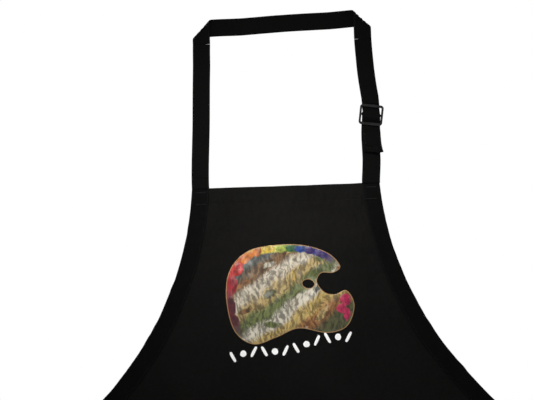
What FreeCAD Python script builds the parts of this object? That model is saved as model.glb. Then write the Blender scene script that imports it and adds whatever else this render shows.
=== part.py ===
import FreeCAD, Part
import math
import os
from FreeCAD import Vector

# Artist's bib apron, hanging by its neck loop. Millimetres, X to the right, Y away from the viewer, Z up.
# The origin is the middle of the neck tape's lower edge, where the loop rests on a hook, a hanger or a neck.

# Driving dimensions of the cut cloth
LOOP_DROP = 191.0          # from the mount down to the top edge of the bib
BIB_HALF = 119.0           # half the width of the bib's top edge
WAIST_HALF = 308.0         # half the width of the skirt, as it hangs
ARMHOLE_DROP = 330.0       # from the bib's top edge down to the waist corners
BODY_LENGTH = 790.0        # from the bib's top edge down to the bottom hem
CLOTH = 0.7                # twill of the body and the pocket
HEM = 1.0                  # turned-under hem, two layers pressed flat
TAPE_WIDTH = 22.0
TAPE = 1.4                 # neck tape, folded double
FACING = 1.2               # the same tape sewn along the armholes
LAYER_GAP = 0.05           # air between two layers that are sewn together
TOP_HEM_HEIGHT = 22.0
SIDE_HEM_WIDTH = 10.0
BOTTOM_HEM_HEIGHT = 20.0
THREAD = 0.7               # width of a row of stitches
THREAD_RAISE = 0.3         # how far the thread stands off the cloth

# How the cloth hangs
STRAP_Y = -5.9             # middle of the neck tape where it hangs beside the neck opening
CLOTH_Y = -5.25            # front face of the bib's top edge
CURL = 52.0                # how far the waist corners curl back behind the middle of the cloth
MIDDLE_FORWARD = 17.4      # how far the middle stands forward, so that the apron balances under its top edge
FOLD_DEPTH = 7.0           # soft vertical folds at the bottom hem
FOLD_PITCH = 150.0
FOLD_START = 250.0         # the folds begin this far below the bib's top edge

# Neck tape
LOOP_SLOPE = 0.035         # rise of the tape over the neck for each unit along X
LEFT_RUN_TOP_X = -100.5
LEFT_RUN_FOOT_X = -109.0
RIGHT_RUN_TOP_X = 104.0
STRAP_X = 110.0            # middle of the short buckle strap
TOP_RUN_Y = 0.0
FOLD_FRONT_Y = -4.0
RUN_TOP = 8.0              # the hanging runs end this far below the mount, at the diagonal folds
HINGE_RISE = 1.0           # the bib turns about a line this far above its top edge
HINGE_GAP = 2.4            # from that line up to the ends of the tapes

# Slider, a moulded tri-glide
SLIDER_WIDTH = 30.0
SLIDER_HEIGHT = 26.0
SLIDER_DEPTH = 2.2
SLIDER_RAIL = 3.2          # width of the top and bottom bars
SLIDER_SIDE = 2.6          # width of the side bars
SLIDER_HOLE_CORNER = 1.0
SLIDER_CORNER = 4.0
SLIDER_BAR_RADIUS = 1.4    # round bar across the middle
SLIDER_TILT = 8.0          # degrees, right side low
SLIDER_ABOVE_BIB = 86.0
SLIDER_BEHIND = 2.15       # from the slider's middle plane back to the tape behind its bars
SLIDER_CENTRE = Vector(111.0, STRAP_Y - SLIDER_BEHIND, SLIDER_ABOVE_BIB - LOOP_DROP)
LOOP_TAPE = 1.2            # the buckle strap, where it is turned round the middle bar
LOOP_RADIUS = 2.3
TAIL_FORWARD = 2.3         # how far the loose tail stands in front of the tape in the slider
TAIL_PIVOT = 16.0          # below the slider's centre
TAIL_END = 46.0

# Pocket and waist ties
POCKET_TOP = 410.0         # below the bib's top edge
POCKET_HEIGHT = 190.0
POCKET_HALF = 180.0
POCKET_BULGE = 19.0
POCKET_BAND = 16.0
TIE_WIDTH = 25.0
TIE_LENGTH = 760.0
TIE = 1.2
TIE_X = 312.0
TIE_TOP = 333.0

# Printed picture: an oval paint palette with dabs of colour, and a row of small marks below it
PRINT_Z = -136.0           # centre of the palette, from the bib's top edge
PRINT = 0.12
PRINT_STEP = 0.04

NEAR = -120.0              # prisms that cut outlines run from here to FAR along Y
FAR = 160.0
BIB_TOP = -LOOP_DROP
Y_AXIS = Vector(0, 1, 0)


def save(name, shape):
    """Write one sub-part, and report anything that is not a sound solid."""
    solids = shape.Solids
    if not solids or not all(s.isValid() and s.Volume > 0 for s in solids):
        raise ValueError(name + " is not a sound solid")
    whole = solids[0] if len(solids) == 1 else Part.makeCompound(solids)
    whole.exportStep("parts/" + name + ".step")


def at(x, below, y=NEAR):
    """A point given by x and by its height from the bib's top edge."""
    return Vector(x, y, BIB_TOP + below)


def outline(points):
    """A flat face in the XZ plane from straight edges."""
    return Part.Face(Part.makePolygon(points + points[:1]))


def rectangle(x0, x1, low, high):
    return outline([at(x0, low), at(x1, low), at(x1, high), at(x0, high)])


def prism(face):
    return face.extrude(Vector(0, FAR - NEAR, 0))


def spline(points, closed=False):
    curve = Part.BSplineCurve()
    curve.interpolate(Points=points, PeriodicFlag=closed)
    return curve.toShape()


# ---- the hanging cloth

def drop_share(below):
    """0 at the bib's top edge, 1 at the waist corners and below."""
    return min(max(-below / ARMHOLE_DROP, 0.0), 1.0)


def half_width(below):
    return BIB_HALF + (WAIST_HALF - BIB_HALF) * drop_share(below) ** 2


def hang(x, below):
    """Y of the cloth's front face: flat at the top, sides curling back, soft folds towards the hem."""
    share = drop_share(below)
    ease = share * share * (3 - 2 * share)
    across = min(abs(x) / half_width(below), 1.1)
    lower = min(max((-below - FOLD_START) / (BODY_LENGTH - FOLD_START), 0.0), 1.0)
    curl = CURL * (1 - 0.25 * lower) * across ** 3
    fold = FOLD_DEPTH * lower ** 2 * math.cos(2 * math.pi * x / FOLD_PITCH + 0.4)
    return CLOTH_Y + ease * (curl - MIDDLE_FORWARD) + fold * (0.4 + across)


def pocket_bulge(x, below):
    """How far the pocket stands off the cloth: two pouches, open at the top."""
    rise = min(max((below + POCKET_TOP + POCKET_HEIGHT) / POCKET_HEIGHT, 0.0), 1.0)
    pouch = math.sin(math.pi * x / POCKET_HALF) ** 2
    return POCKET_BULGE * pouch * rise * rise * (3 - 2 * rise)


def hanging_surface(y_of, half_x, low, high, columns, rows):
    grid = []
    for i in range(columns + 1):
        x = -half_x + 2 * half_x * i / columns
        grid.append([])
        for j in range(rows + 1):
            below = low + (high - low) * j / rows
            grid[i].append(at(x, below, y_of(x, below)))
    surface = Part.BSplineSurface()
    surface.interpolate(grid)
    return surface.toShape()


CLOTH_FACE = hanging_surface(hang, 324.0, -BODY_LENGTH - 12, 12.0, 36, 26)
POCKET_FACE = hanging_surface(
    lambda x, below: hang(x, below) - pocket_bulge(x, below),
    POCKET_HALF + 12, -POCKET_TOP - POCKET_HEIGHT - 12, -POCKET_TOP + 12, 32, 12)


def layer(face, front, back):
    """A slab of cloth whose faces lie front and back of the given surface along Y."""
    slab = face.copy()
    slab.translate(Vector(0, front, 0))
    return slab.extrude(Vector(0, back - front, 0))


def cut(flat, front, back, face=None):
    """The slab cut to a flat outline."""
    return layer(face or CLOTH_FACE, front, back).common(prism(flat))


def armhole_point(t):
    """Point and slope of the right armhole edge, a cubic from the bib's corner to the waist corner."""
    xs = (BIB_HALF, 128.0, 178.0, WAIST_HALF)
    zs = (0.0, -ARMHOLE_DROP / 3, -ARMHOLE_DROP * 2 / 3, -ARMHOLE_DROP)
    weights = ((1 - t) ** 3, 3 * t * (1 - t) ** 2, 3 * t * t * (1 - t), t ** 3)
    slopes = (3 * (1 - t) ** 2, 6 * t * (1 - t), 3 * t * t)
    x = sum(w * v for w, v in zip(weights, xs))
    z = sum(w * v for w, v in zip(weights, zs))
    dx = sum(w * (xs[i + 1] - xs[i]) for i, w in enumerate(slopes))
    dz = sum(w * (zs[i + 1] - zs[i]) for i, w in enumerate(slopes))
    return x, z, dx, dz


def armhole_line(side, inset, start=0.0, end=1.0, steps=12):
    """Points along the armhole, moved inset towards the cloth."""
    points = []
    for i in range(steps + 1):
        x, z, dx, dz = armhole_point(start + (end - start) * i / steps)
        length = math.hypot(dx, dz)
        points.append(at(side * (x + inset * dz / length), z - inset * dx / length))
    return points


def body_outline():
    edges = []
    for side in (-1, 1):
        edges.append(spline(armhole_line(side, 0.0)))
        edges.append(Part.makeLine(at(side * WAIST_HALF, -ARMHOLE_DROP), at(side * WAIST_HALF, -BODY_LENGTH)))
    edges.append(Part.makeLine(at(-BIB_HALF, 0), at(BIB_HALF, 0)))
    edges.append(Part.makeLine(at(-WAIST_HALF, -BODY_LENGTH), at(WAIST_HALF, -BODY_LENGTH)))
    return Part.Face(Part.Wire(Part.__sortEdges__(edges)))


BODY = body_outline()


def armhole_band(side, inner, outer):
    """The part of the body between two insets from the armhole."""
    a = armhole_line(side, inner, -0.1, 1.08)
    b = armhole_line(side, outer, -0.1, 1.08)
    edges = [spline(a), spline(b), Part.makeLine(a[0], b[0]), Part.makeLine(a[-1], b[-1])]
    return Part.Face(Part.Wire(Part.__sortEdges__(edges))).common(BODY)


def body_and_hems():
    hem_front = CLOTH + LAYER_GAP
    save("body_panel", cut(BODY, 0.0, CLOTH))
    top = rectangle(-BIB_HALF, BIB_HALF, -TOP_HEM_HEIGHT, 0).common(BODY)
    save("bib_top_hem", cut(top, hem_front, hem_front + HEM))
    foot = rectangle(-WAIST_HALF, WAIST_HALF, -BODY_LENGTH, -BODY_LENGTH + BOTTOM_HEM_HEIGHT)
    save("bottom_hem", cut(foot, hem_front, hem_front + HEM))
    for side, name in ((-1, "left"), (1, "right")):
        edges = sorted((side * WAIST_HALF, side * (WAIST_HALF - SIDE_HEM_WIDTH)))
        low = -BODY_LENGTH + BOTTOM_HEM_HEIGHT + 0.2
        hem = rectangle(edges[0], edges[1], low, -ARMHOLE_DROP - 3)
        save("side_hem_" + name, cut(hem, hem_front, hem_front + HEM))
        facing = armhole_band(side, TAPE_WIDTH, -2.0)
        save("armhole_tape_" + name, cut(facing, -LAYER_GAP - FACING, -LAYER_GAP))


def stitch_rows():
    """Rows of stitches, each a thin raised line on the cloth or on the tape."""
    on_tape = -2 * LAYER_GAP - FACING
    on_cloth = -LAYER_GAP
    for side, name in ((-1, "left"), (1, "right")):
        rows = []
        for inset in (1.6, TAPE_WIDTH - 1.6):
            row = armhole_band(side, inset + THREAD, inset)
            rows.append(cut(row, on_tape - THREAD_RAISE, on_tape))
        save("armhole_stitches_" + name, Part.makeCompound(rows))
        x = side * (WAIST_HALF - SIDE_HEM_WIDTH + 2)
        row = rectangle(min(x, x + THREAD), max(x, x + THREAD), -BODY_LENGTH + 1, -ARMHOLE_DROP - 42)
        save("side_hem_stitches_" + name, cut(row, on_cloth - THREAD_RAISE, on_cloth))
    reach = BIB_HALF - TAPE_WIDTH - 2.5
    row = rectangle(-reach, reach, 2 - TOP_HEM_HEIGHT, 2 - TOP_HEM_HEIGHT + THREAD)
    save("top_hem_stitches", cut(row, on_cloth - THREAD_RAISE, on_cloth))
    reach = WAIST_HALF - SIDE_HEM_WIDTH - 1
    low = -BODY_LENGTH + BOTTOM_HEM_HEIGHT - 2
    row = rectangle(-reach, reach, low, low + THREAD)
    save("bottom_hem_stitches", cut(row, on_cloth - THREAD_RAISE, on_cloth))


def corner_tacks():
    """Dense bars of thread where the neck tape joins the bib's corners."""
    front = -3 * LAYER_GAP - FACING
    for side, name in ((-1, "left"), (1, "right")):
        edges = sorted((side * (BIB_HALF - 4.5), side * (BIB_HALF - TAPE_WIDTH + 4.5)))
        bars = []
        for low in (-6.0, -TOP_HEM_HEIGHT + 1.5):
            bars.append(cut(rectangle(edges[0], edges[1], low, low + 1.6), front - THREAD_RAISE, front))
        save("corner_tack_" + name, Part.makeCompound(bars))


# ---- pocket

def pocket():
    front = -0.15 - CLOTH
    foot = -POCKET_TOP - POCKET_HEIGHT
    pouch = rectangle(-POCKET_HALF, POCKET_HALF, foot, -POCKET_TOP)
    save("pocket_panel", cut(pouch, front, front + CLOTH, POCKET_FACE))
    band = rectangle(-POCKET_HALF, POCKET_HALF, -POCKET_TOP - POCKET_BAND, -POCKET_TOP)
    band_front = front - LAYER_GAP - CLOTH
    save("pocket_band", cut(band, band_front, band_front + CLOTH, POCKET_FACE))

    rows = []
    below_band = -POCKET_TOP - POCKET_BAND - 0.5
    for x in (-POCKET_HALF + 2, -THREAD / 2, POCKET_HALF - 2 - THREAD):
        rows.append(rectangle(x, x + THREAD, foot + 3, below_band))
    rows.append(rectangle(-POCKET_HALF + 2, POCKET_HALF - 2, foot + 2, foot + 2 + THREAD))
    face = front - LAYER_GAP
    rows = [cut(row, face - THREAD_RAISE, face, POCKET_FACE) for row in rows]
    save("pocket_stitches", Part.makeCompound(rows))

    tacks = []
    face = band_front - LAYER_GAP
    for x in (-POCKET_HALF + 1, -1.0, POCKET_HALF - 3):
        tack = rectangle(x, x + 2.0, -POCKET_TOP - POCKET_BAND + 2, -POCKET_TOP - 2)
        tacks.append(cut(tack, face - THREAD_RAISE, face, POCKET_FACE))
    save("pocket_tacks", Part.makeCompound(tacks))


# ---- waist ties

def waist_ties():
    """Flat straps sewn behind the waist corners. Each tab is in the seam, and the strap hangs from it."""
    tab_front = CLOTH + HEM + 2 * LAYER_GAP
    tack_back = tab_front + TIE + LAYER_GAP
    strap_front = hang(WAIST_HALF, -ARMHOLE_DROP - TIE_WIDTH) + tack_back + 3.0
    tab_reach = 24.0
    for side, name in ((-1, "left"), (1, "right")):
        edges = sorted((side * (WAIST_HALF - 1), side * (WAIST_HALF - tab_reach)))
        tab = rectangle(edges[0], edges[1], -TIE_TOP - TIE_WIDTH, -TIE_TOP - 4).common(BODY)
        save("tie_tab_" + name, cut(tab, tab_front, tab_front + TIE))
        inner = min(edges[0], edges[1]) + 2.5
        outer = max(edges[0], edges[1]) - 2.5
        frame = [
            rectangle(inner, outer, -TIE_TOP - 9, -TIE_TOP - 8),
            rectangle(inner, outer, -TIE_TOP - TIE_WIDTH + 2, -TIE_TOP - TIE_WIDTH + 3),
        ]
        bars = [cut(bar.common(BODY), tack_back, tack_back + THREAD_RAISE) for bar in frame]
        save("tie_tack_" + name, Part.makeCompound(bars))

        left = side * TIE_X - TIE_WIDTH / 2
        length = TIE_LENGTH - tab_reach
        foot = BIB_TOP - TIE_TOP - length
        strap = Part.makeBox(TIE_WIDTH, TIE, length, Vector(left, strap_front, foot))
        save("waist_tie_" + name, strap)
        end = Part.makeBox(TIE_WIDTH, TIE, 12.0, Vector(left, strap_front + TIE + LAYER_GAP, foot))
        save("tie_end_hem_" + name, end)


# ---- neck tape

def band_z(x):
    """Lower edge of the tape over the neck."""
    return LOOP_SLOPE * x


def run_edges(side):
    """Outer and inner x of the hanging run at its top."""
    middle = LEFT_RUN_TOP_X if side < 0 else RIGHT_RUN_TOP_X
    return middle + side * TAPE_WIDTH / 2, middle - side * TAPE_WIDTH / 2


def fold_ends(side):
    """The diagonal fold runs from the run's outer edge to the top edge over its inner edge."""
    outer, inner = run_edges(side)
    return Vector(outer, 0, band_z(outer)), Vector(inner, 0, band_z(inner) + TAPE_WIDTH)


def flat_strap(points, middle_y, thickness):
    """A flat strap with a straight outline, given by (x, z) corners."""
    corners = [Vector(x, middle_y - thickness / 2, z) for x, z in points]
    return Part.Face(Part.makePolygon(corners + corners[:1])).extrude(Vector(0, thickness, 0))


def neck_tape_fold(side):
    """The tape turns from the front to the back round a diagonal."""
    corner, apex = fold_ends(side)
    outer, inner = run_edges(side)
    along = apex - corner
    outward = Vector(-along.z, 0, along.x) if side < 0 else Vector(along.z, 0, -along.x)
    outward.normalize()
    middle = (FOLD_FRONT_Y + TOP_RUN_Y) / 2
    radius = (TOP_RUN_Y - FOLD_FRONT_Y) / 2
    base = corner + Y_AXIS * middle
    arcs = []
    for r in (radius + TAPE / 2, radius - TAPE / 2):
        arcs.append(Part.Arc(base - Y_AXIS * r, base + outward * r, base + Y_AXIS * r).toShape())
    ends = []
    for sign in (-1, 1):
        a = base + Y_AXIS * (sign * (radius + TAPE / 2))
        b = base + Y_AXIS * (sign * (radius - TAPE / 2))
        ends.append(Part.makeLine(a, b))
    turn = Part.Face(Part.Wire(Part.__sortEdges__(arcs + ends))).extrude(along)
    flap = flat_strap(
        [(corner.x, corner.z), (apex.x, apex.z), (inner, -RUN_TOP), (outer, -RUN_TOP)],
        FOLD_FRONT_Y, TAPE)
    return turn.fuse(flap).removeSplitter()


def neck_tape():
    left_corner, left_apex = fold_ends(-1)
    right_corner, right_apex = fold_ends(1)
    corners = [left_corner, left_apex, right_apex, right_corner]
    save("neck_tape_top", flat_strap([(p.x, p.z) for p in corners], TOP_RUN_Y, TAPE))
    save("neck_tape_fold_left", neck_tape_fold(-1))
    save("neck_tape_fold_right", neck_tape_fold(1))
    outer, inner = run_edges(-1)
    foot = BIB_TOP + HINGE_RISE + HINGE_GAP
    half = TAPE_WIDTH / 2
    left = [(outer, -RUN_TOP), (inner, -RUN_TOP), (LEFT_RUN_FOOT_X + half, foot), (LEFT_RUN_FOOT_X - half, foot)]
    save("neck_tape_left", flat_strap(left, STRAP_Y, TAPE))
    outer, inner = run_edges(1)
    lean = math.tan(math.radians(SLIDER_TILT)) * half
    end = SLIDER_CENTRE.z + 14.0
    right = [(inner, -RUN_TOP), (outer, -RUN_TOP), (STRAP_X + half, end - lean), (STRAP_X - half, end + lean)]
    save("neck_tape_right", flat_strap(right, STRAP_Y, TAPE))


# ---- slider, and the tape through it. Paths are (y, z) from the slider's centre.

ACROSS = Vector(math.cos(math.radians(SLIDER_TILT)), 0, -math.sin(math.radians(SLIDER_TILT)))


def strip(path, thickness, width):
    """A strap along a smooth path in the YZ plane, as wide as given along the slider's own bar."""
    curve = Part.BSplineCurve()
    curve.interpolate([Vector(0, y, z) for y, z in path])
    steps = 6 * len(path)
    sides = []
    for half in (thickness / 2, -thickness / 2):
        points = []
        for i in range(steps + 1):
            t = curve.FirstParameter + (curve.LastParameter - curve.FirstParameter) * i / steps
            tangent = curve.tangent(t)[0]
            normal = Vector(0, -tangent.z, tangent.y)
            points.append(curve.value(t) + normal * half)
        sides.append(points)
    edges = [spline(side) for side in sides]
    for end in (0, -1):
        edges.append(Part.makeLine(sides[0][end], sides[1][end]))
    face = Part.Face(Part.Wire(Part.__sortEdges__(edges)))
    face.translate(SLIDER_CENTRE - ACROSS * (width / 2))
    return face.extrude(ACROSS * width)


def slider_frame():
    w, h, r = SLIDER_WIDTH / 2, SLIDER_HEIGHT / 2, SLIDER_CORNER
    plate = Part.makeBox(2 * w, SLIDER_DEPTH, 2 * h, Vector(-w, -SLIDER_DEPTH / 2, -h))
    corners = [e for e in plate.Edges if abs(e.tangentAt(e.FirstParameter).y) > 0.9]
    plate = plate.makeFillet(r, corners)
    plate = plate.makeFillet(0.6, [e for e in plate.Edges if abs(e.tangentAt(e.FirstParameter).y) < 0.1])
    hole_w, hole_h = w - SLIDER_SIDE, h - SLIDER_RAIL
    hole = Part.makeBox(2 * hole_w, 8, 2 * hole_h, Vector(-hole_w, -4, -hole_h))
    hole = hole.makeFillet(SLIDER_HOLE_CORNER, [e for e in hole.Edges if abs(e.tangentAt(e.FirstParameter).y) > 0.9])
    bar = Part.makeCylinder(SLIDER_BAR_RADIUS, 2 * w - 2, Vector(1 - w, 0, 0), Vector(1, 0, 0))
    frame = plate.cut(hole).fuse(bar).removeSplitter()
    frame.rotate(Vector(0, 0, 0), Y_AXIS, SLIDER_TILT)
    frame.translate(SLIDER_CENTRE)
    save("slider_frame", frame)


def tape_in_slider():
    """Behind the top bar, over the middle bar, behind the bottom bar."""
    half = [(SLIDER_BEHIND, 13.2), (SLIDER_BEHIND, 10.6), (1.0, 7.4), (-3.2, 3.4)]
    path = half + [(-3.85, 0.0)] + [(y, -z) for y, z in reversed(half)]
    save("neck_tape_in_slider", strip(path, TAPE, TAPE_WIDTH))


def buckle_strap():
    """Short strap from the bib, turned round the middle bar and sewn to itself."""
    loop = []
    for angle in (0, 45, 90, 135, 180, 225, 262):
        a = math.radians(angle)
        loop.append((LOOP_RADIUS * math.cos(a), LOOP_RADIUS * math.sin(a)))
    rear = [(5.15, -40.0), (5.15, -28.0), (5.15, -17.0), (5.05, -9.5), (4.1, -4.2)]
    foot_y = STRAP_Y - SLIDER_CENTRE.y
    foot_z = BIB_TOP - SLIDER_CENTRE.z
    front = [(2.5, -5.2), (3.75, -9.5), (3.85, -17.0), (3.85, -28.0), (3.85, -40.0), (3.2, -60.0)]
    path = rear + loop + front + [(foot_y + 0.1, -78.0), (foot_y, foot_z - 4)]
    strap = strip(path, LOOP_TAPE, TAPE_WIDTH)
    level = BIB_TOP + HINGE_RISE + HINGE_GAP
    above = Part.makeBox(80, 60, 160, Vector(STRAP_X - 40, STRAP_Y - 30, level))
    save("buckle_strap", strap.common(above))
    rows = []
    row_y = 3.85 - LOOP_TAPE / 2 - 0.22
    for z in (-21.0, -37.0):
        rows.append(strip([(row_y, z - 0.6), (row_y, z + 0.6)], THREAD_RAISE, 18.0))
    save("buckle_strap_stitches", Part.makeCompound(rows))


def tape_tail():
    """Loose end of the neck tape below the slider, with its end turned up and stitched."""
    hang_y = SLIDER_BEHIND - TAIL_FORWARD
    top = -TAIL_PIVOT + 0.2
    save("tail_exit", strip([(SLIDER_BEHIND, top), (1.2, top - 2.3), (hang_y, top - 5.0)], TAPE, TAPE_WIDTH))
    start = top - 5.4
    belly = [(hang_y, start), (hang_y - 0.7, start - 9), (hang_y - 0.5, start - 17), (hang_y, -TAIL_END)]
    save("tape_tail", strip(belly, TAPE, TAPE_WIDTH))
    front = hang_y - TAPE / 2 - 0.5
    fold = strip([(front, -TAIL_END + 0.3), (front - 0.15, -TAIL_END + 3), (front - 0.35, -TAIL_END + 7)], 0.7, TAPE_WIDTH)
    save("tail_end_fold", fold)


# ---- printed picture

def ellipse(x, below, width, height, turn=0.0):
    """A flat ellipse, turned by degrees anticlockwise as seen from the front."""
    long_side, short_side = max(width, height) / 2, min(width, height) / 2
    edge = Part.Ellipse(Vector(0, 0, 0), long_side, short_side).toShape()
    face = Part.Face(Part.Wire([edge]))
    face.rotate(Vector(0, 0, 0), Vector(1, 0, 0), 90)
    extra = 90 if height > width else 0
    face.rotate(Vector(0, 0, 0), Y_AXIS, -turn - extra)
    face.translate(at(x, below))
    return face


def palette_outline():
    """Rounded board with a bite for the fingers on the right, and a thumb hole."""
    board = [
        (-80, 0), (-74, 33), (-52, 55), (-18, 62), (18, 61), (50, 50), (65, 33), (56, 25), (41, 25), (35, 14),
        (44, 1), (57, -2), (72, 2), (81, -17), (71, -42), (46, -50), (10, -43), (-18, -53), (-48, -61), (-72, -42)]
    edge = spline([at(x, PRINT_Z + z) for x, z in board], closed=True)
    return Part.Face(Part.Wire([edge])).cut(ellipse(24, PRINT_Z + 12, 15, 11, -12))


def film(flat, step):
    """Ink lies on the cloth, each colour a step further out than what it is printed over."""
    front = -LAYER_GAP - PRINT - step * (PRINT + PRINT_STEP)
    return cut(flat, front, front + PRINT)


PAINTS = (
    ("maroon", [(-73, -12, 9, 20, 4), (-69, -30, 8, 13, 14)]),
    ("crimson", [(-71, 12, 10, 22, -8)]),
    ("red", [(-64, 33, 11, 18, -32)]),
    ("orange", [(-52, 47, 16, 10, 40), (-39, 54, 12, 9, 22)]),
    ("yellow", [(-24, 57, 16, 8, 10)]),
    ("lime", [(-9, 57, 12, 8, 4)]),
    ("green", [(3, 57, 10, 8, 0)]),
    ("blue", [(14, 56, 11, 8, -6)]),
    ("indigo", [(27, 54, 13, 8, -14), (40, 49, 13, 8, -28)]),
    ("magenta", [(70, -9, 12, 14, -15), (65, -20, 11, 13, 20), (71, -27, 9, 14, -8)]),
)


def printed_picture():
    save("print_palette", film(palette_outline(), 0))
    for name, dabs in PAINTS:
        dabs = [film(ellipse(x, PRINT_Z + z, w, h, turn), 1) for x, z, w, h, turn in dabs]
        whole = dabs[0]
        for dab in dabs[1:]:
            whole = whole.fuse(dab)
        save("print_paint_" + name, whole.removeSplitter() if len(dabs) > 1 else whole)
    marks = []
    count = 12
    for i in range(count):
        share = i / (count - 1)
        x = -74 + 146 * share
        below = PRINT_Z - 77 + 22 * share + 3 * math.sin(3 * math.pi * share + 0.3)
        if i % 3 == 1:
            marks.append(film(ellipse(x, below, 8, 8), 0))
        else:
            marks.append(film(ellipse(x, below, 14, 3.6, 62 if i % 3 else 118), 0))
    save("print_marks", Part.makeCompound(marks))


def build():
    os.makedirs("parts", exist_ok=True)
    neck_tape()
    slider_frame()
    tape_in_slider()
    buckle_strap()
    tape_tail()
    body_and_hems()
    stitch_rows()
    corner_tacks()
    pocket()
    waist_ties()
    printed_picture()


build()
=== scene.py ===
import math

import bpy
import numpy as np
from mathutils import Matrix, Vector
from mathutils.bvhtree import BVHTree
from mathutils.geometry import delaunay_2d_cdt


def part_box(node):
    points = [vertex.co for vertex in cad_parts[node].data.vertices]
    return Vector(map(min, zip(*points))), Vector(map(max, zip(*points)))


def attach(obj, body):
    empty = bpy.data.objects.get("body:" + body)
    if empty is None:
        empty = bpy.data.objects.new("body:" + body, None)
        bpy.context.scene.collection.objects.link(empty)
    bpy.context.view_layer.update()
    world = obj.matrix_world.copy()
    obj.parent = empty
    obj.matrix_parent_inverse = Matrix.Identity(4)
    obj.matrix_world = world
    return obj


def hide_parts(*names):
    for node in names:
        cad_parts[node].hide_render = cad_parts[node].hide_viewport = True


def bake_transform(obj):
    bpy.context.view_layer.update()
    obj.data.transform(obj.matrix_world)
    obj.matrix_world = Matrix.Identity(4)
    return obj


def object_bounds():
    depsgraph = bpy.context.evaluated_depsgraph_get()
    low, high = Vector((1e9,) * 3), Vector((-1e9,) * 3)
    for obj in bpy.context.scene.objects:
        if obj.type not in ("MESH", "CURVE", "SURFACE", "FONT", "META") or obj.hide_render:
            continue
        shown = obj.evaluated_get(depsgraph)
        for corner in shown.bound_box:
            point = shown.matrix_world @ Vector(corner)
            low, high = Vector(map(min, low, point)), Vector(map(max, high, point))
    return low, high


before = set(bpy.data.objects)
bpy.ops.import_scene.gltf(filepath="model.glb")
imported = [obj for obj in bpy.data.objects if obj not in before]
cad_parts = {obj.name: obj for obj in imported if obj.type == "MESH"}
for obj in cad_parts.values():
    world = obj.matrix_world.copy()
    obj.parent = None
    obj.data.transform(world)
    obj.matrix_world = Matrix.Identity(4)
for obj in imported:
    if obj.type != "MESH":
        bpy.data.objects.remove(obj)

# An artist's bib apron hanging by its neck loop. Metres, X to the right, Y away from the camera, Z up.

CAD_BOX = [list(v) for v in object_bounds()]
MM = 0.001

# ---- sizes of the frame's parts

PANEL_LOW, PANEL_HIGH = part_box("body_panel")
BIB_TOP = PANEL_HIGH.z
LENGTH = PANEL_HIGH.z - PANEL_LOW.z
WAIST_HALF = PANEL_HIGH.x
BIB_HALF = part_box("bib_top_hem")[1].x
TOP_HEM = BIB_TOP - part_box("bib_top_hem")[0].z
BOTTOM_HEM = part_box("side_hem_left")[0].z - PANEL_LOW.z
SIDE_HEM = 10 * MM
ARMHOLE_DROP = 330 * MM
ARMHOLE_XS = (BIB_HALF, 128 * MM, 178 * MM, WAIST_HALF)    # control points of the armhole's curve
WAIST = ARMHOLE_DROP + 3 * MM
CLOTH = 0.7 * MM
HEM = 1.0 * MM
UNDER_HEM = -(CLOTH + 0.10 * MM)
SEAM_IN = 2 * MM           # a hem's stitches, from its sewn edge
TAPE_WIDTH = 22 * MM
TURNED_END = 7 * MM        # the neck tape's loose end, folded up and sewn
TAPE = 1.4 * MM
FACING = 1.2 * MM
TIE_WIDTH = 25 * MM
TIE = 1.2 * MM
TIE_X = 312 * MM
TIE_TURNED_END = 12 * MM
BEHIND_TAB = 0.45 * MM     # air between the hem and the tab sewn to it
POCKET_TOP, POCKET_FOOT = 410 * MM, 600 * MM
POCKET_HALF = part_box("pocket_panel")[1].x
POCKET_BAND = 16 * MM
POUCH_DEPTH = 19 * MM
PALETTE_DEPTH = 136 * MM   # from the bib's top edge to the palette's middle
SLIDER = Vector((111 * MM, -8.05 * MM, -105 * MM))
TILT = math.radians(8)     # the slider's right side is low
STRAP_Y = -5.9 * MM
SIDES = ((-1, "left"), (1, "right"))
COLUMNS, ROWS = 72, 96     # of the draped grid
DRAPE_FRAMES = 26
DRAPE_LIMIT = 9 * MM

CAMERA_AT = (-0.025, -1.8, -0.208)
CAMERA_ROLL = math.radians(2)
CAMERA_LENS = 95.7
WORLD_LIGHT = 0.24         # the world is 1 to the camera, and this strong as light
FLOOR_REACH, FLOOR_GAP, FLOOR_GLOW = 4, 0.03, 0.48
# name, place, target, size, watts, spread in degrees, colour
LIGHTS = (
    ("light_key", (-0.12, -0.62, 0.16), (0.0, 0, -0.20), 0.28, 0.52, 40, (1.0, 0.985, 0.95)),
    ("light_left", (-1.9, -0.5, 0.1), (0, 0, -0.55), 1.0, 1.3, 120, (1.0, 0.99, 0.97)),
    ("light_right", (1.9, -0.2, 0.3), (0, 0, -0.45), 1.0, 1.1, 120, (0.97, 0.98, 1.0)),
    ("light_top", (0.2, 1.3, 1.6), (0, 0, -0.5), 1.2, 4, 140, (1, 1, 1)))


# ---- camera and light

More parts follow.
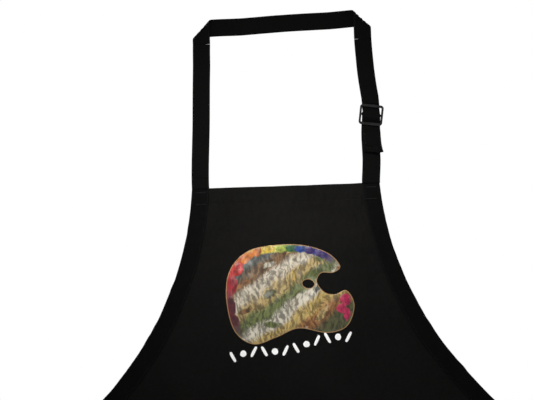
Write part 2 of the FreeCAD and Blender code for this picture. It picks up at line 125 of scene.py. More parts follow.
def set_stage():
    scene = bpy.context.scene
    data = bpy.data.cameras.new("camera")
    data.sensor_width = 36
    data.lens = CAMERA_LENS
    data.clip_start, data.clip_end = 0.01, 50
    camera = bpy.data.objects.new("camera", data)
    camera.location = CAMERA_AT
    camera.rotation_euler = (math.pi / 2, CAMERA_ROLL, 0)
    scene.collection.objects.link(camera)
    scene.camera = camera

    for name, place, target, size, power, spread, tint in LIGHTS:
        light = bpy.data.lights.new(name, "AREA")
        light.shape, light.size, light.energy, light.color = "SQUARE", size, power, tint
        light.spread = math.radians(spread)
        lamp = bpy.data.objects.new(name, light)
        lamp.location = place
        aim = Vector(target) - Vector(place)
        lamp.rotation_euler = aim.to_track_quat("-Z", "Y").to_euler()
        scene.collection.objects.link(lamp)

    world = bpy.data.worlds.new("studio")
    scene.world = world
    world.use_nodes = True
    backdrop = world.node_tree.nodes["Background"]
    backdrop.inputs[0].default_value = (1, 1, 1, 1)
    seen = world.node_tree.nodes.new("ShaderNodeLightPath")
    power = world.node_tree.nodes.new("ShaderNodeMapRange")
    power.inputs["To Min"].default_value = WORLD_LIGHT
    power.inputs["To Max"].default_value = 1.0
    world.node_tree.links.new(seen.outputs["Is Camera Ray"], power.inputs[0])
    world.node_tree.links.new(power.outputs[0], backdrop.inputs[1])
    scene.view_settings.view_transform = "Standard"

    floor = Maker()
    level = CAD_BOX[0][2] - FLOOR_GAP
    corners = np.array([(x * FLOOR_REACH, y * FLOOR_REACH, level) for x, y in ((-1, -1), (1, -1), (1, 1), (-1, 1))])
    floor.add(corners, [(0, 1, 2, 3)], flat=corners)
    floor.object("floor", [plain_floor()])


# ---- materials

class Nodes:
    """A node material, built one node at a time."""

    def __init__(self, name):
        self.material = bpy.data.materials.new(name)
        self.material.use_nodes = True
        self.tree = self.material.node_tree
        self.shader = self.tree.nodes["Principled BSDF"]

    def add(self, kind, inputs=(), **settings):
        node = self.tree.nodes.new("ShaderNode" + kind)
        for key, value in settings.items():
            setattr(node, key, value)
        for key, value in dict(inputs).items():
            self.feed(node.inputs[key], value)
        return node

    def feed(self, socket, value):
        if isinstance(value, bpy.types.NodeSocket):
            self.tree.links.new(value, socket)
        else:
            socket.default_value = value

    def math(self, operation, a, b=0.0):
        return self.add("Math", {0: a, 1: b}, operation=operation).outputs[0]

    def plus(self, a, b):
        return self.math("ADD", a, b)

    def minus(self, a, b):
        return self.math("SUBTRACT", a, b)

    def times(self, a, b):
        return self.math("MULTIPLY", a, b)

    def shaken(self, value, noise, reach):
        """The value, moved up and down by a noise."""
        return self.plus(value, self.times(self.minus(noise, 0.5), reach))

    def vector(self, operation, a, b, output=0):
        return self.add("VectorMath", {0: a, 1: b}, operation=operation).outputs[output]

    def scaled(self, a, scale):
        return self.add("VectorMath", {0: a, "Scale": scale}, operation="SCALE").outputs[0]

    def mix(self, share, a, b):
        return self.add("Mix", {0: share, 6: a, 7: b}, data_type="RGBA").outputs[2]

    def ramp(self, value, stops):
        node = self.add("ValToRGB", {0: value})
        elements = node.color_ramp.elements
        while len(elements) < len(stops):
            elements.new(0.5)
        for element, (place, colour) in zip(elements, stops):
            element.position, element.color = place, colour
        return node.outputs[0]

    def spread(self, value, low, high):
        return self.add("MapRange", {0: value, 1: low, 2: high}, interpolation_type="SMOOTHSTEP").outputs[0]

    def flat(self):
        return self.add("Attribute", attribute_name="flat").outputs["Vector"]

    def noise(self, vector, scale, detail=3.0, stretch=(1, 1, 1)):
        placed = self.add("Mapping", {"Vector": vector, "Scale": stretch}).outputs[0]
        return self.add("TexNoise", {"Vector": placed, "Scale": scale, "Detail": detail}).outputs[0]

    def bands(self, vector, pitch, stretch):
        placed = self.add("Mapping", {"Vector": vector, "Scale": stretch}).outputs[0]
        return self.add(
            "TexWave", {"Vector": placed, "Scale": 2 * math.pi / (20 * pitch), "Distortion": 0.6, "Detail": 1.0},
            bands_direction="DIAGONAL").outputs["Fac"]

    def bump(self, height, distance, strength=1.0):
        bump = self.add("Bump", {"Height": height, "Distance": distance, "Strength": strength})
        self.feed(self.shader.inputs["Normal"], bump.outputs[0])

    def set(self, **values):
        for key, value in values.items():
            self.feed(self.shader.inputs[key.replace("_", " ")], value)
        return self.material


def grey(value, warm=0.0):
    return (value * (1 + warm), value, value * (1 - warm), 1)


def tone(colour, share, extra=0.0):
    return tuple(share * c + extra for c in colour[:3]) + (1,)


def woven(name, dark, light, pitch, relief, sheen, shine, edge=None):
    """Black twill: diagonal ribs of yarn crossed by finer ones, slubs, and slow changes of shade."""
    n = Nodes(name)
    flat = n.flat()
    ribs = n.bands(flat, pitch, (1, 1, 0))
    cross = n.bands(flat, pitch * 0.62, (1, -1, 0))
    slubs = n.noise(flat, 1400, 2, (1, 0.18, 1))
    fuzz = n.noise(flat, 5200, 2)
    height = n.plus(n.times(ribs, 0.6), n.times(cross, 0.3))
    height = n.plus(height, n.times(n.plus(slubs, fuzz), 0.35))
    rumple = n.noise(flat, 210, 4)
    height = n.plus(height, n.times(rumple, 3.2))
    n.bump(height, relief)
    cloud = n.plus(n.times(n.noise(flat, 9, 4), 0.6), n.times(rumple, 0.4))
    cloud = n.spread(cloud, 0.35, 0.65)
    shade = n.mix(cloud, dark, light)
    shade = n.mix(n.times(ribs, 0.35), shade, tone(light, 1.8))
    specks = n.spread(n.noise(flat, 700, 1), 0.80, 0.86)
    shade = n.mix(n.times(specks, 0.6), shade, grey(0.04, 0.05))
    if edge:
        # the tape is coloured lighter within 0.9 mm of its two edges
        away = n.math("ABSOLUTE", n.add("SeparateXYZ", {0: flat}).outputs[0])
        edge_lightening = n.times(n.spread(away, edge - 0.9 * MM, edge), 0.55)
        shade = n.mix(edge_lightening, shade, tone(light, 2.6))
    rough = n.plus(0.74, n.times(cloud, 0.14))
    return n.set(
        Base_Color=shade, Roughness=rough, Specular_IOR_Level=shine,
        Sheen_Weight=sheen, Sheen_Roughness=0.5, Sheen_Tint=(0.75, 0.76, 0.8, 1))


def thread_material():
    """Black polyester sewing thread, twisted from two plies."""
    n = Nodes("thread_black")
    flat = n.flat()
    twist = n.bands(flat, 0.45 * MM, (1, 1, 0.6))
    n.bump(twist, 0.05 * MM)
    shade = n.mix(twist, grey(0.002), grey(0.007, 0.03))
    return n.set(Base_Color=shade, Roughness=0.58, Specular_IOR_Level=0.15, Sheen_Weight=0.015)


def plastic_material():
    """Glossy black acetal with a fine moulded grain, rubbed smoother along its edges."""
    n = Nodes("plastic_black")
    place = n.add("TexCoord").outputs["Object"]
    grain = n.noise(place, 2600, 3)
    swirl = n.noise(place, 160, 2)
    n.bump(n.plus(grain, n.times(swirl, 2.0)), 0.02 * MM, 0.7)
    rub = n.spread(n.add("NewGeometry").outputs["Pointiness"], 0.5, 0.58)
    rough = n.minus(n.plus(0.24, n.times(swirl, 0.1)), n.times(rub, 0.1))
    shade = n.mix(n.spread(swirl, 0.3, 0.7), grey(0.005), grey(0.010))
    return n.set(
        Base_Color=shade, Roughness=rough, Specular_IOR_Level=0.30, Coat_Weight=0.18, Coat_Roughness=0.16)


def ink_material(name, colour, shift):
    """Glossy printing ink with the look of thick paint."""
    n = Nodes(name)
    flat = n.flat()
    strokes = n.noise(flat, 420, 4, (1, 0.25, 1))
    mottle = n.noise(flat, 130 + shift, 3)
    n.bump(n.plus(strokes, mottle), 0.12 * MM)
    shade = n.mix(n.spread(mottle, 0.35, 0.65), tone(colour, 0.28), tone(colour, 0.68))
    shade = n.mix(n.times(n.spread(strokes, 0.5, 0.72), 0.7), shade, tone(colour, 0.85, 0.03))
    return n.set(Base_Color=shade, Roughness=0.42, Specular_IOR_Level=0.45, Coat_Weight=0.15, Coat_Roughness=0.3)


def white_ink():
    n = Nodes("ink_white")
    flat = n.flat()
    weave = n.bands(flat, 0.6 * MM, (1, 1, 0))
    wear = n.noise(flat, 900, 4)
    n.bump(n.plus(weave, wear), 0.05 * MM)
    shade = n.mix(n.spread(wear, 0.62, 0.8), grey(0.95), grey(0.7))
    return n.set(Base_Color=shade, Roughness=0.6)


def board_material():
    """Diagonal bands of brushwork on a board, with paint along part of its rim and a thin edge line."""
    n = Nodes("ink_board")
    flat = n.flat()
    swirl = n.add("TexNoise", {"Vector": flat, "Scale": 38.0, "Detail": 4.0}).outputs["Color"]
    push = n.scaled(n.vector("SUBTRACT", swirl, (0.5, 0.5, 0.5)), 0.026)
    place = n.vector("ADD", flat, push)
    strokes = n.noise(place, 300, 5, (1, 0.3, 1))
    fine = n.noise(place, 950, 3, (1, 0.35, 1))
    across = (-math.sin(BAND_TURN), math.cos(BAND_TURN), 0)
    level = n.vector("DOT_PRODUCT", place, across, "Value")
    level = n.plus(n.math("DIVIDE", level, len(BAND_COLOURS) * BAND_WIDTH), 0.5)
    level = n.shaken(level, fine, 0.10)
    stops = [
        ((i + part) / len(BAND_COLOURS), colour + (1,))
        for i, colour in enumerate(BAND_COLOURS) for part in (0.2, 0.8)]
    pigment = n.ramp(level, stops)
    for (x, z), (width, height), turn, colour in band_dabs():
        local = n.add("Mapping", {
            "Vector": place, "Location": (x, z, 0), "Rotation": (0, 0, turn),
            "Scale": (width / 2, height / 2, 1.0)}, vector_type="TEXTURE").outputs[0]
        reach = n.vector("LENGTH", n.vector("MULTIPLY", local, (1, 1, 0)), (0, 0, 0), "Value")
        reach = n.shaken(reach, fine, 0.9)
        pigment = n.mix(n.minus(1.0, n.spread(reach, 0.72, 1.08)), pigment, colour + (1,))
    depth = n.plus(0.22, n.times(n.spread(strokes, 0.38, 0.62), 0.50))
    shade = n.scaled(pigment, depth)
    rim = n.add("SeparateXYZ", {0: n.add("Attribute", attribute_name="rim").outputs["Vector"]}).outputs
    reach = n.shaken(rim[0], fine, 6 * MM)
    painted = n.ramp(n.shaken(rim[1], strokes, 0.018), RIM_COLOURS)
    within = n.minus(1.0, n.spread(reach, 7 * MM, 10.5 * MM))
    run = n.times(n.spread(rim[1], 0.02, 0.05), n.minus(1.0, n.spread(rim[1], 0.36, 0.39)))
    dulled = n.plus(0.25, n.times(n.spread(fine, 0.3, 0.7), 0.45))
    painted = n.mix(dulled, painted, (0.01, 0.008, 0.01, 1))
    shade = n.mix(n.times(within, run), shade, painted)
    line = n.minus(1.0, n.spread(rim[0], 0.7 * MM, 1.3 * MM))
    shade = n.mix(n.times(line, 0.9), shade, (0.34, 0.20, 0.085, 1))
    n.bump(n.plus(strokes, fine), 0.10 * MM)
    return n.set(Base_Color=shade, Roughness=0.45, Specular_IOR_Level=0.4, Coat_Weight=0.1, Coat_Roughness=0.3)


def plain_floor():
    n = Nodes("floor_pale")
    flat = n.flat()
    shade = n.mix(n.noise(flat, 3, 4), (0.80, 0.80, 0.79, 1), (0.86, 0.86, 0.86, 1))
    n.bump(n.noise(flat, 60, 3), 0.4 * MM, 0.3)
    return n.set(Base_Color=shade, Roughness=0.8, Emission_Color=(1, 1, 1, 1), Emission_Strength=FLOOR_GLOW)


# Diagonal bands of plain colour, with a few short dabs over them in the same colours
BAND_TURN = math.radians(34)
BAND_WIDTH = 15 * MM
BAND_COLOURS = (
    (0.10, 0.10, 0.035), (0.38, 0.16, 0.05), (0.62, 0.44, 0.14), (0.74, 0.68, 0.55), (0.17, 0.20, 0.06),
    (0.55, 0.40, 0.16), (0.70, 0.62, 0.48), (0.24, 0.13, 0.05), (0.12, 0.13, 0.12))
DAB_ROWS, DABS_IN_ROW = 4, 4
DAB_STEP = 38 * MM
DAB_SHIFT = 17 * MM        # of every second row
DAB_SIZE = (20 * MM, 9 * MM)


def band_dabs():
    """Middle, size, turn and colour of each short dab, in rows along the bands."""
    for row in range(DAB_ROWS):
        off = (row - (DAB_ROWS - 1) / 2) * 2 * BAND_WIDTH
        for k in range(DABS_IN_ROW):
            run = (k - (DABS_IN_ROW - 1) / 2) * DAB_STEP + (row % 2) * DAB_SHIFT
            x = run * math.cos(BAND_TURN) - off * math.sin(BAND_TURN)
            z = run * math.sin(BAND_TURN) + off * math.cos(BAND_TURN)
            turn = BAND_TURN + math.radians(24 * (k % 3) - 30)
            yield (x, z), DAB_SIZE, turn, BAND_COLOURS[(3 * row + 2 * k + 1) % len(BAND_COLOURS)]


RIM_COLOURS = (
    (0.04, (0.05, 0.008, 0.012, 1)), (0.10, (0.30, 0.012, 0.02, 1)), (0.145, (0.62, 0.02, 0.02, 1)),
    (0.180, (0.70, 0.12, 0.01, 1)), (0.205, (0.75, 0.30, 0.02, 1)), (0.228, (0.85, 0.62, 0.05, 1)),
    (0.250, (0.75, 0.75, 0.20, 1)), (0.268, (0.25, 0.45, 0.04, 1)), (0.285, (0.02, 0.12, 0.03, 1)),
    (0.310, (0.01, 0.05, 0.30, 1)), (0.335, (0.03, 0.02, 0.22, 1)), (0.37, (0.05, 0.012, 0.06, 1)))

# x, z, width, height and turn of each dab, from the palette's middle
PAINTS = {
    "maroon": ((0.10, 0.010, 0.02), [(-73, -12, 9, 20, 4), (-69, -30, 8, 13, 14)]),
    "crimson": ((0.42, 0.015, 0.03), [(-71, 12, 10, 22, -8)]),
    "red": ((0.66, 0.025, 0.02), [(-64, 33, 11, 18, -32)]),
    "orange": ((0.72, 0.20, 0.015), [(-52, 47, 16, 10, 40), (-39, 54, 12, 9, 22)]),
    "yellow": ((0.80, 0.55, 0.05), [(-24, 57, 16, 8, 10)]),
    "lime": ((0.42, 0.50, 0.07), [(-9, 57, 12, 8, 4)]),
    "green": ((0.02, 0.14, 0.035), [(3, 57, 10, 8, 0)]),
    "blue": ((0.015, 0.07, 0.36), [(14, 56, 11, 8, -6)]),
    "indigo": ((0.045, 0.02, 0.17), [(27, 54, 13, 8, -14), (40, 49, 13, 8, -28)]),
    "magenta": ((0.58, 0.015, 0.10), [(70, -9, 12, 14, -15), (65, -20, 11, 13, 20), (71, -27, 9, 14, -8)]),
}


# ---- meshes

class Maker:
    """Collects the surfaces of one piece. Each vertex keeps its place on the flat cloth for the weave."""

    def __init__(self):
        self.verts, self.faces, self.slots, self.flats, self.count = [], [], [], [], 0

    def add(self, verts, faces, slot=0, flat=None):
        verts = np.asarray(verts, float).reshape(-1, 3)
        self.verts.append(verts)
        self.faces += [tuple(self.count + i for i in face) for face in faces]
        self.slots += [slot] * len(faces)
        self.flats.append(verts if flat is None else np.asarray(flat, float).reshape(-1, 3))
        self.count += len(verts)

    def object(self, name, materials, extra=None):
        mesh = bpy.data.meshes.new(name)
        mesh.from_pydata(np.concatenate(self.verts).tolist(), [], self.faces)
        for material in materials:
            mesh.materials.append(material)
        mesh.polygons.foreach_set("material_index", self.slots)
        mesh.polygons.foreach_set("use_smooth", [True] * len(mesh.polygons))
        layers = {"flat": np.concatenate(self.flats)}
        layers.update(extra or {})
        for key, values in layers.items():
            mesh.attributes.new(key, "FLOAT_VECTOR", "POINT").data.foreach_set("vector", values.ravel())
        mesh.update()
        obj = bpy.data.objects.new(name, mesh)
        bpy.context.scene.collection.objects.link(obj)
        return obj


def shell_faces(rows, cols):
    """Front and back of a slab over a grid, and the walls round it. Rows run down, columns to the right."""
    count = rows * cols
    faces = []
    for j in range(rows - 1):
        for i in range(cols - 1):
            a = j * cols + i
            faces.append((a, a + cols, a + cols + 1, a + 1))
            faces.append((count + a, count + a + 1, count + a + cols + 1, count + a + cols))
    rim = list(range(cols)) + [j * cols + cols - 1 for j in range(1, rows)]
    rim += [(rows - 1) * cols + i for i in range(cols - 2, -1, -1)] + [j * cols for j in range(rows - 2, 0, -1)]
    for a, b in zip(rim, rim[1:] + rim[:1]):
        faces.append((a, b, count + b, count + a))
    return faces


def slab(maker, place, across, down, front, back, slot=0):
    """Cloth between two heights over a grid, with softened edges."""
    u, v = np.meshgrid(across, down)
    middle = (front + back) / 2
    soft = np.ones_like(u)
    for row in (soft[0], soft[-1], soft[:, 0], soft[:, -1]):
        row[:] = 0.35
    front_side = place(u, v, middle + (front - middle) * soft)
    back_side = place(u, v, middle + (back - middle) * soft)
    flat = np.stack([u, -v, np.zeros_like(u)], -1)
    verts = np.concatenate([front_side.reshape(-1, 3), back_side.reshape(-1, 3)])
    maker.add(verts, shell_faces(*u.shape), slot, np.concatenate([flat.reshape(-1, 3)] * 2))


SEAM_SHARE, SEAM_END = 0.855, 1.2 * MM
PROFILE_U = np.array([-1, -.985, -.95, -.88, -.855, -.83, -.7, -.4, 0, .4, .7, .83, .855, .88, .95, .985, 1])
PROFILE_H = np.array([0, .62, .95, .97, .70, .97, 1, 1, 1, 1, 1, .97, .70, .97, .95, .62, 0])


def tape(maker, place, length, width, thick, step=2.0 * MM, pucker=0.10 * MM, start=0.0, sewn=True, lift=0.0):
    """A flat tape with rounded edges, dented along its two rows of stitches."""
    steps = max(2, int(math.ceil(length / step)))
    s = start + np.linspace(0, length, steps + 1)[:, None]
    u = np.concatenate([PROFILE_U, PROFILE_U[-2:0:-1]])[None, :] * width / 2
    h = np.concatenate([PROFILE_H, -PROFILE_H[-2:0:-1]])[None, :] * thick / 2
    if not sewn:
        h = np.sign(h) * np.where(np.abs(h) > 0.45 * thick, 0.5 * thick, np.abs(h))
        h = np.where(np.abs(np.abs(u) / (width / 2) - 0.86) < 0.03, np.sign(h) * thick / 2, h)
    near = np.exp(-((np.abs(u) - 0.86 * width / 2) / (0.16 * width / 2)) ** 2)
    waves = np.sin(2 * math.pi * s / (7.3 * MM) + 2.1 * np.sign(u)) * np.sin(2 * math.pi * s / (31 * MM) + 0.8)
    height = h + pucker * near * waves * (1 if sewn else 0.4) + lift
    spots = place(s + 0 * u, u + 0 * s, height)
    ring = u.shape[1]
    faces = []
    for j in range(steps):
        for i in range(ring):
            a, b = j * ring + i, j * ring + (i + 1) % ring
            faces.append((a, a + ring, b + ring, b))
    faces.append(tuple(range(ring)))
    faces.append(tuple(steps * ring + i for i in reversed(range(ring))))
    flat = np.stack([u + 0 * s, s + 0 * u, height], -1)
    maker.add(spots, faces, 0, flat)
    if sewn:
        for side in (-1, 1):
            row = side * SEAM_SHARE * width / 2
            line = [(start + SEAM_END, row), (start + length - SEAM_END, row)]
            sew(maker, place, line, lift + thick / 2 - 0.10 * MM)


def sew(maker, place, line, height, pitch=3.3 * MM, long=2.6 * MM, radius=0.23 * MM, slot=1):
    """Rounded stitches of thread along a line of places on the cloth."""
    line = np.asarray(line, float)
    steps = 40 * (len(line) - 1)
    t = np.linspace(0, len(line) - 1, steps + 1)
    a = np.interp(t, np.arange(len(line)), line[:, 0])
    b = np.interp(t, np.arange(len(line)), line[:, 1])
    path = place(a, b, np.full_like(a, height))
    above = place(a, b, np.full_like(a, height + MM))
    run = np.concatenate([[0], np.cumsum(np.linalg.norm(np.diff(path, axis=0), axis=1))])
    count = max(1, int(run[-1] / pitch))
    middle = (np.arange(count) + 0.5) * run[-1] / count

    def on(values, at):
        return np.stack([np.interp(at, run, values[:, k]) for k in range(3)], -1)

    centre = on(path, middle)
    along = on(path, middle + long / 2) - on(path, middle - long / 2)
    along /= np.linalg.norm(along, axis=1)[:, None] + 1e-12
    up = on(above, middle) - centre
    up /= np.linalg.norm(up, axis=1)[:, None] + 1e-12
    side = np.cross(along, up)
    spread = np.array([-.5, -.40, 0, .40, .5]) * long
    girth = np.array([.3, .95, 1.1, .95, .3]) * radius
    rise = np.array([-.9, .25, .60, .25, -.9]) * radius
    angle = np.arange(6) * math.pi / 3
    core = centre[:, None] + along[:, None] * spread[None, :, None] + up[:, None] * rise[None, :, None]
    spoke = up[:, None] * np.cos(angle)[None, :, None] + side[:, None] * np.sin(angle)[None, :, None]
    verts = core[:, :, None] + spoke[:, None] * girth[None, :, None, None]
    faces = []
    for k in range(count):
        base = 30 * k
        for j in range(4):
            for i in range(6):
                p, q = base + 6 * j + i, base + 6 * j + (i + 1) % 6
                faces.append((p, q, q + 6, p + 6))
        faces.append(tuple(base + i for i in (5, 4, 3, 2, 1, 0)))
        faces.append(tuple(base + 24 + i for i in range(6)))
    maker.add(verts, faces, slot)


def bar(maker, place, a0, a1, b, height, slot=1, turns=None):
    """A bar tack: thread laid side by side across a short line."""
    turns = turns or max(4, int(abs(a1 - a0) / (0.55 * MM)))
    for k in range(turns):
        a = a0 + (a1 - a0) * (k + 0.5) / turns
        slant = 0.25 * MM if k % 2 else -0.25 * MM
        line = [(a - slant, b - 0.9 * MM), (a + slant, b + 0.9 * MM)]
        sew(maker, place, line, height, 1.8 * MM, 1.8 * MM, 0.24 * MM, slot)


def dress(piece, slot, *nodes, body="apron_body"):
    """Says which body a piece rides and which CAD nodes it stands for. The slot, what it is made of, is not used."""
    if body:
        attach(piece, body)
    if nodes:
        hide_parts(*nodes)
    return piece


def threads(maker, name, *nodes, body="apron_body"):
    return dress(maker.object(name, [THREAD]), "thread", *nodes, body=body)


def hump(value, middle, width):
    return np.exp(-((value - middle) / width) ** 2)


def ease(value):
    return value * value * (3 - 2 * value)


# ---- the hanging cloth, draped by simulation from the cut panel

def edge_x(depth):
    """Half the panel's width at a depth below the bib's top edge."""
    t = np.clip(np.asarray(depth, float) / ARMHOLE_DROP, 0, 1)
    a, b, c, d = ARMHOLE_XS
    return (1 - t) ** 3 * a + 3 * t * (1 - t) ** 2 * b + 3 * t * t * (1 - t) * c + t ** 3 * d


def armhole(side, s, inset):
    """Place on the cloth at a share of the armhole's length, moved inwards from its edge."""
    t = np.asarray(s, float)
    tc = np.clip(t, 0, 1)
    a, b, c, d = ARMHOLE_XS
    slope = 3 * (1 - tc) ** 2 * (b - a) + 6 * tc * (1 - tc) * (c - b) + 3 * tc * tc * (d - c)
    x = edge_x(tc * ARMHOLE_DROP) + (t - tc) * slope
    size = np.hypot(slope, ARMHOLE_DROP)
    depth = t * ARMHOLE_DROP + inset * slope / size
    x = np.minimum(x - inset * ARMHOLE_DROP / size, WAIST_HALF)
    return side * x, np.maximum(depth, 0)


def cad_grid():
    """The CAD panel's front face, row by row from the bib's top edge."""
    tree = BVHTree.FromObject(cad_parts["body_panel"], bpy.context.evaluated_depsgraph_get())
    points = np.zeros((ROWS + 1, COLUMNS + 1, 3))
    for j in range(ROWS + 1):
        depth = LENGTH * j / ROWS
        z = BIB_TOP - min(max(depth, 0.4 * MM), LENGTH - 0.4 * MM)
        half = float(edge_x(depth))
        for i in range(COLUMNS + 1):
            x = half * (2 * i / COLUMNS - 1)
            hit = tree.ray_cast(Vector((x * 0.997, -1, z)), Vector((0, 1, 0)))[0]
            if hit is None:
                hit = tree.find_nearest(Vector((x, -0.005, z)))[0]
            points[j, i] = (x, hit.y, BIB_TOP - depth)
    return points


def weights_of(f):
    return (
        (-f + 2 * f ** 2 - f ** 3) / 2, (2 - 5 * f ** 2 + 3 * f ** 3) / 2,
        (f + 4 * f ** 2 - 3 * f ** 3) / 2, (f ** 3 - f ** 2) / 2)


def smooth_at(grid, r, c):
    """Catmull-Rom interpolation of a grid of points."""
    top, left = grid.shape[0] - 1, grid.shape[1] - 1
    r0 = np.clip(np.floor(r).astype(int), 0, top - 1)
    c0 = np.clip(np.floor(c).astype(int), 0, left - 1)
    total = 0
    for dr, wr in zip((-1, 0, 1, 2), weights_of(r - r0)):
        for dc, wc in zip((-1, 0, 1, 2), weights_of(c - c0)):
            part = grid[np.clip(r0 + dr, 0, top), np.clip(c0 + dc, 0, left)]
            total = total + part * (wr * wc)[..., None]
    return total


DRAPE = {
    "quality": 6, "mass": 0.00005, "tension_stiffness": 40, "compression_stiffness": 40, "shear_stiffness": 12,
    "bending_stiffness": 0.8, "tension_damping": 12, "shear_damping": 12, "bending_damping": 1.0, "air_damping": 2.5,
    "vertex_group_mass": "pins", "shrink_min": -0.008}


def drape(points):
    """Lets the panel hang from the two corners of the bib, and returns the settled grid."""
    rows, cols = points.shape[:2]
    rng = np.random.default_rng(5)
    coarse = rng.uniform(-1, 1, (16, 14, 1))
    start = points.copy()
    where = np.meshgrid(np.linspace(1, 13, rows), np.linspace(1, 11, cols), indexing="ij")
    start[..., 1] += 1.2 * MM * smooth_at(coarse, *where)[..., 0]
    maker = Maker()
    quads = [
        (j * cols + i, j * cols + i + 1, (j + 1) * cols + i + 1, (j + 1) * cols + i)
        for j in range(rows - 1) for i in range(cols - 1)]
    maker.add(start, quads)
    obj = maker.object("drape", [])
    pins = obj.vertex_groups.new(name="pins")
    for j in range(2):
        held = [j * cols + i for i in range(cols) if abs(points[j, i, 0]) > BIB_HALF - TAPE_WIDTH]
        pins.add(held, 1.0, "REPLACE")
    cloth = obj.modifiers.new("cloth", "CLOTH")
    for key, value in DRAPE.items():
        setattr(cloth.settings, key, value)
    cloth.collision_settings.use_collision = False
    cloth.collision_settings.use_self_collision = False
    scene = bpy.context.scene
    cloth.point_cache.frame_start, cloth.point_cache.frame_end = 1, 30
    for step in range(1, DRAPE_FRAMES + 1):
        scene.frame_set(step)
    done = obj.evaluated_get(bpy.context.evaluated_depsgraph_get())
    spots = np.zeros(rows * cols * 3)
    done.data.vertices.foreach_get("co", spots)
    scene.frame_set(1)
    bpy.data.objects.remove(obj)
    return spots.reshape(rows, cols, 3)


# x, depth, direction in degrees, length, width and height of small creases, millimetres
CREASES = (
    (-84, 38, -52, 34, 3.2, 0.75), (-73, 47, -58, 40, 3.6, 0.65), (-92, 60, -64, 30, 3.0, 0.55),
    (-3, 52, -88, 70, 2.2, 0.35), (9, 48, -91, 60, 2.0, 0.30), (29, 31, -25, 14, 2.2, 0.55),
    (62, 44, -118, 34, 3.5, 0.45), (86, 60, -120, 46, 4.0, 0.55), (-96, 110, -75, 60, 6.0, 0.9),
    (98, 130, -104, 70, 6.5, 0.9), (-130, 215, -70, 90, 9.0, 1.6), (128, 205, -108, 90, 9.0, 1.5),
    (-165, 262, -74, 100, 10, 1.8), (168, 258, -106, 100, 10, 1.8), (-60, 250, -84, 80, 9.0, 0.8),
    (70, 240, -95, 80, 9.0, 0.8), (40, 320, -80, 90, 12, 1.5), (-30, 345, -96, 90, 12, 1.5))


def crease(x, depth):
    total = 0
    for cx, cd, turn, long, wide, high in CREASES:
        dx, dz = x - cx * MM, cd * MM - depth
        cos, sin = math.cos(math.radians(turn)), math.sin(math.radians(turn))
        along, off = dx * cos + dz * sin, -dx * sin + dz * cos
        fade = np.exp(-(2 * along / (long * MM)) ** 2)
        total = total + high * MM * fade * hump(off, 0, wide * MM)
        total = total - 0.4 * high * MM * fade * hump(off, 1.6 * wide * MM, wide * MM)
    return total


class Hanging:
    """The settled cloth's front face, with any height above it."""

    def __init__(self, grid):
        self.grid = grid
        down, across = np.gradient(grid, axis=0), np.gradient(grid, axis=1)
        normal = np.cross(down, across)
        self.normal = normal / np.linalg.norm(normal, axis=-1)[..., None]

    def __call__(self, x, depth, height):
        x, depth, height = np.broadcast_arrays(x, depth, height)
        inside = np.clip(depth, 0, LENGTH)
        half = edge_x(inside)
        share = np.clip(x / half, -1, 1)
        where = inside / LENGTH * ROWS, (share + 1) / 2 * COLUMNS
        spot = smooth_at(self.grid, *where)
        normal = smooth_at(self.normal, *where)
        normal /= np.linalg.norm(normal, axis=-1)[..., None]
        spot = spot + normal * height[..., None]
        spot[..., 0] += x - share * half
        spot[..., 1] -= crease(x, depth)
        spot[..., 2] -= depth - inside
        return spot


def hanging_cloth():
    rest = cad_grid()
    moved = drape(rest) - rest
    reach = np.linalg.norm(moved, axis=-1)[..., None]
    return Hanging(rest + moved * DRAPE_LIMIT * np.tanh(reach / DRAPE_LIMIT) / np.maximum(reach, 1e-9))


set_stage()
CLOTH_AT = hanging_cloth()
TWILL = woven("twill_black", grey(0.0013, 0.05), grey(0.0046, 0.05), 0.62 * MM, 0.12 * MM, 0.018, 0.07)
HEM_TWILL = woven("hem_black", grey(0.0014, 0.02), grey(0.0044, 0.02), 0.62 * MM, 0.11 * MM, 0.018, 0.07)
POCKET_TWILL = woven("pocket_black", grey(0.0016, 0.02), grey(0.0050, 0.02), 0.62 * MM, 0.11 * MM, 0.020, 0.07)
BINDING = woven("tape_black", grey(0.0008), grey(0.0024), 0.50 * MM, 0.13 * MM, 0.012, 0.05, edge=TAPE_WIDTH / 2)
TIE_TWILL = woven("tie_black", grey(0.0012), grey(0.0034), 0.50 * MM, 0.13 * MM, 0.015, 0.06, edge=TIE_WIDTH / 2)
THREAD = thread_material()
PLASTIC = plastic_material()


# ---- body and hems

def body():
    depth = MM * np.concatenate([
        np.arange(0, 26, 1.3), np.arange(26, 330, 3.2), np.arange(330, 765, 5.0), np.arange(765, 790, 2.4), [790]])
    share = np.linspace(-1, 1, 177)
    share = np.sign(share) * (1 - (1 - np.abs(share)) ** 1.15)

    def place(a, d, h):
        x = a * edge_x(d)
        dent = 0.38 * MM * hump(d, TOP_HEM - SEAM_IN, 1.3 * MM)
        ripple = 0.20 * MM * np.sin(x / (1.5 * MM) + 2 * np.sin(x / (17 * MM)))
        dent = dent + ripple * hump(d, TOP_HEM, 5 * MM)
        dent = dent + 0.4 * MM * hump(d, LENGTH - BOTTOM_HEM - 1.65 * MM, 2.2 * MM)
        below = 1 / (1 + np.exp(-(d - 372 * MM) / (4 * MM)))
        dent = dent + below * 0.35 * MM * hump(np.abs(x), WAIST_HALF - SIDE_HEM + SEAM_IN, 2.2 * MM)
        return CLOTH_AT(x, d, h - dent)

    maker = Maker()
    slab(maker, place, share, depth, np.float64(0), np.float64(-CLOTH))
    u, v = np.meshgrid(share, depth)
    flat = np.stack([u * edge_x(v), -v, 0 * u], -1).reshape(-1, 3)
    maker.flats[0] = np.concatenate([flat, flat])
    return maker.object("apron_cloth", [TWILL])


def rounded(low, high, step):
    """Places from low to high with two close together at each end."""
    inner = np.linspace(low + 0.6 * MM, high - 0.6 * MM, max(2, int((high - low) / step)))
    return np.concatenate([[low, low + 0.2 * MM], inner, [high - 0.2 * MM, high]])


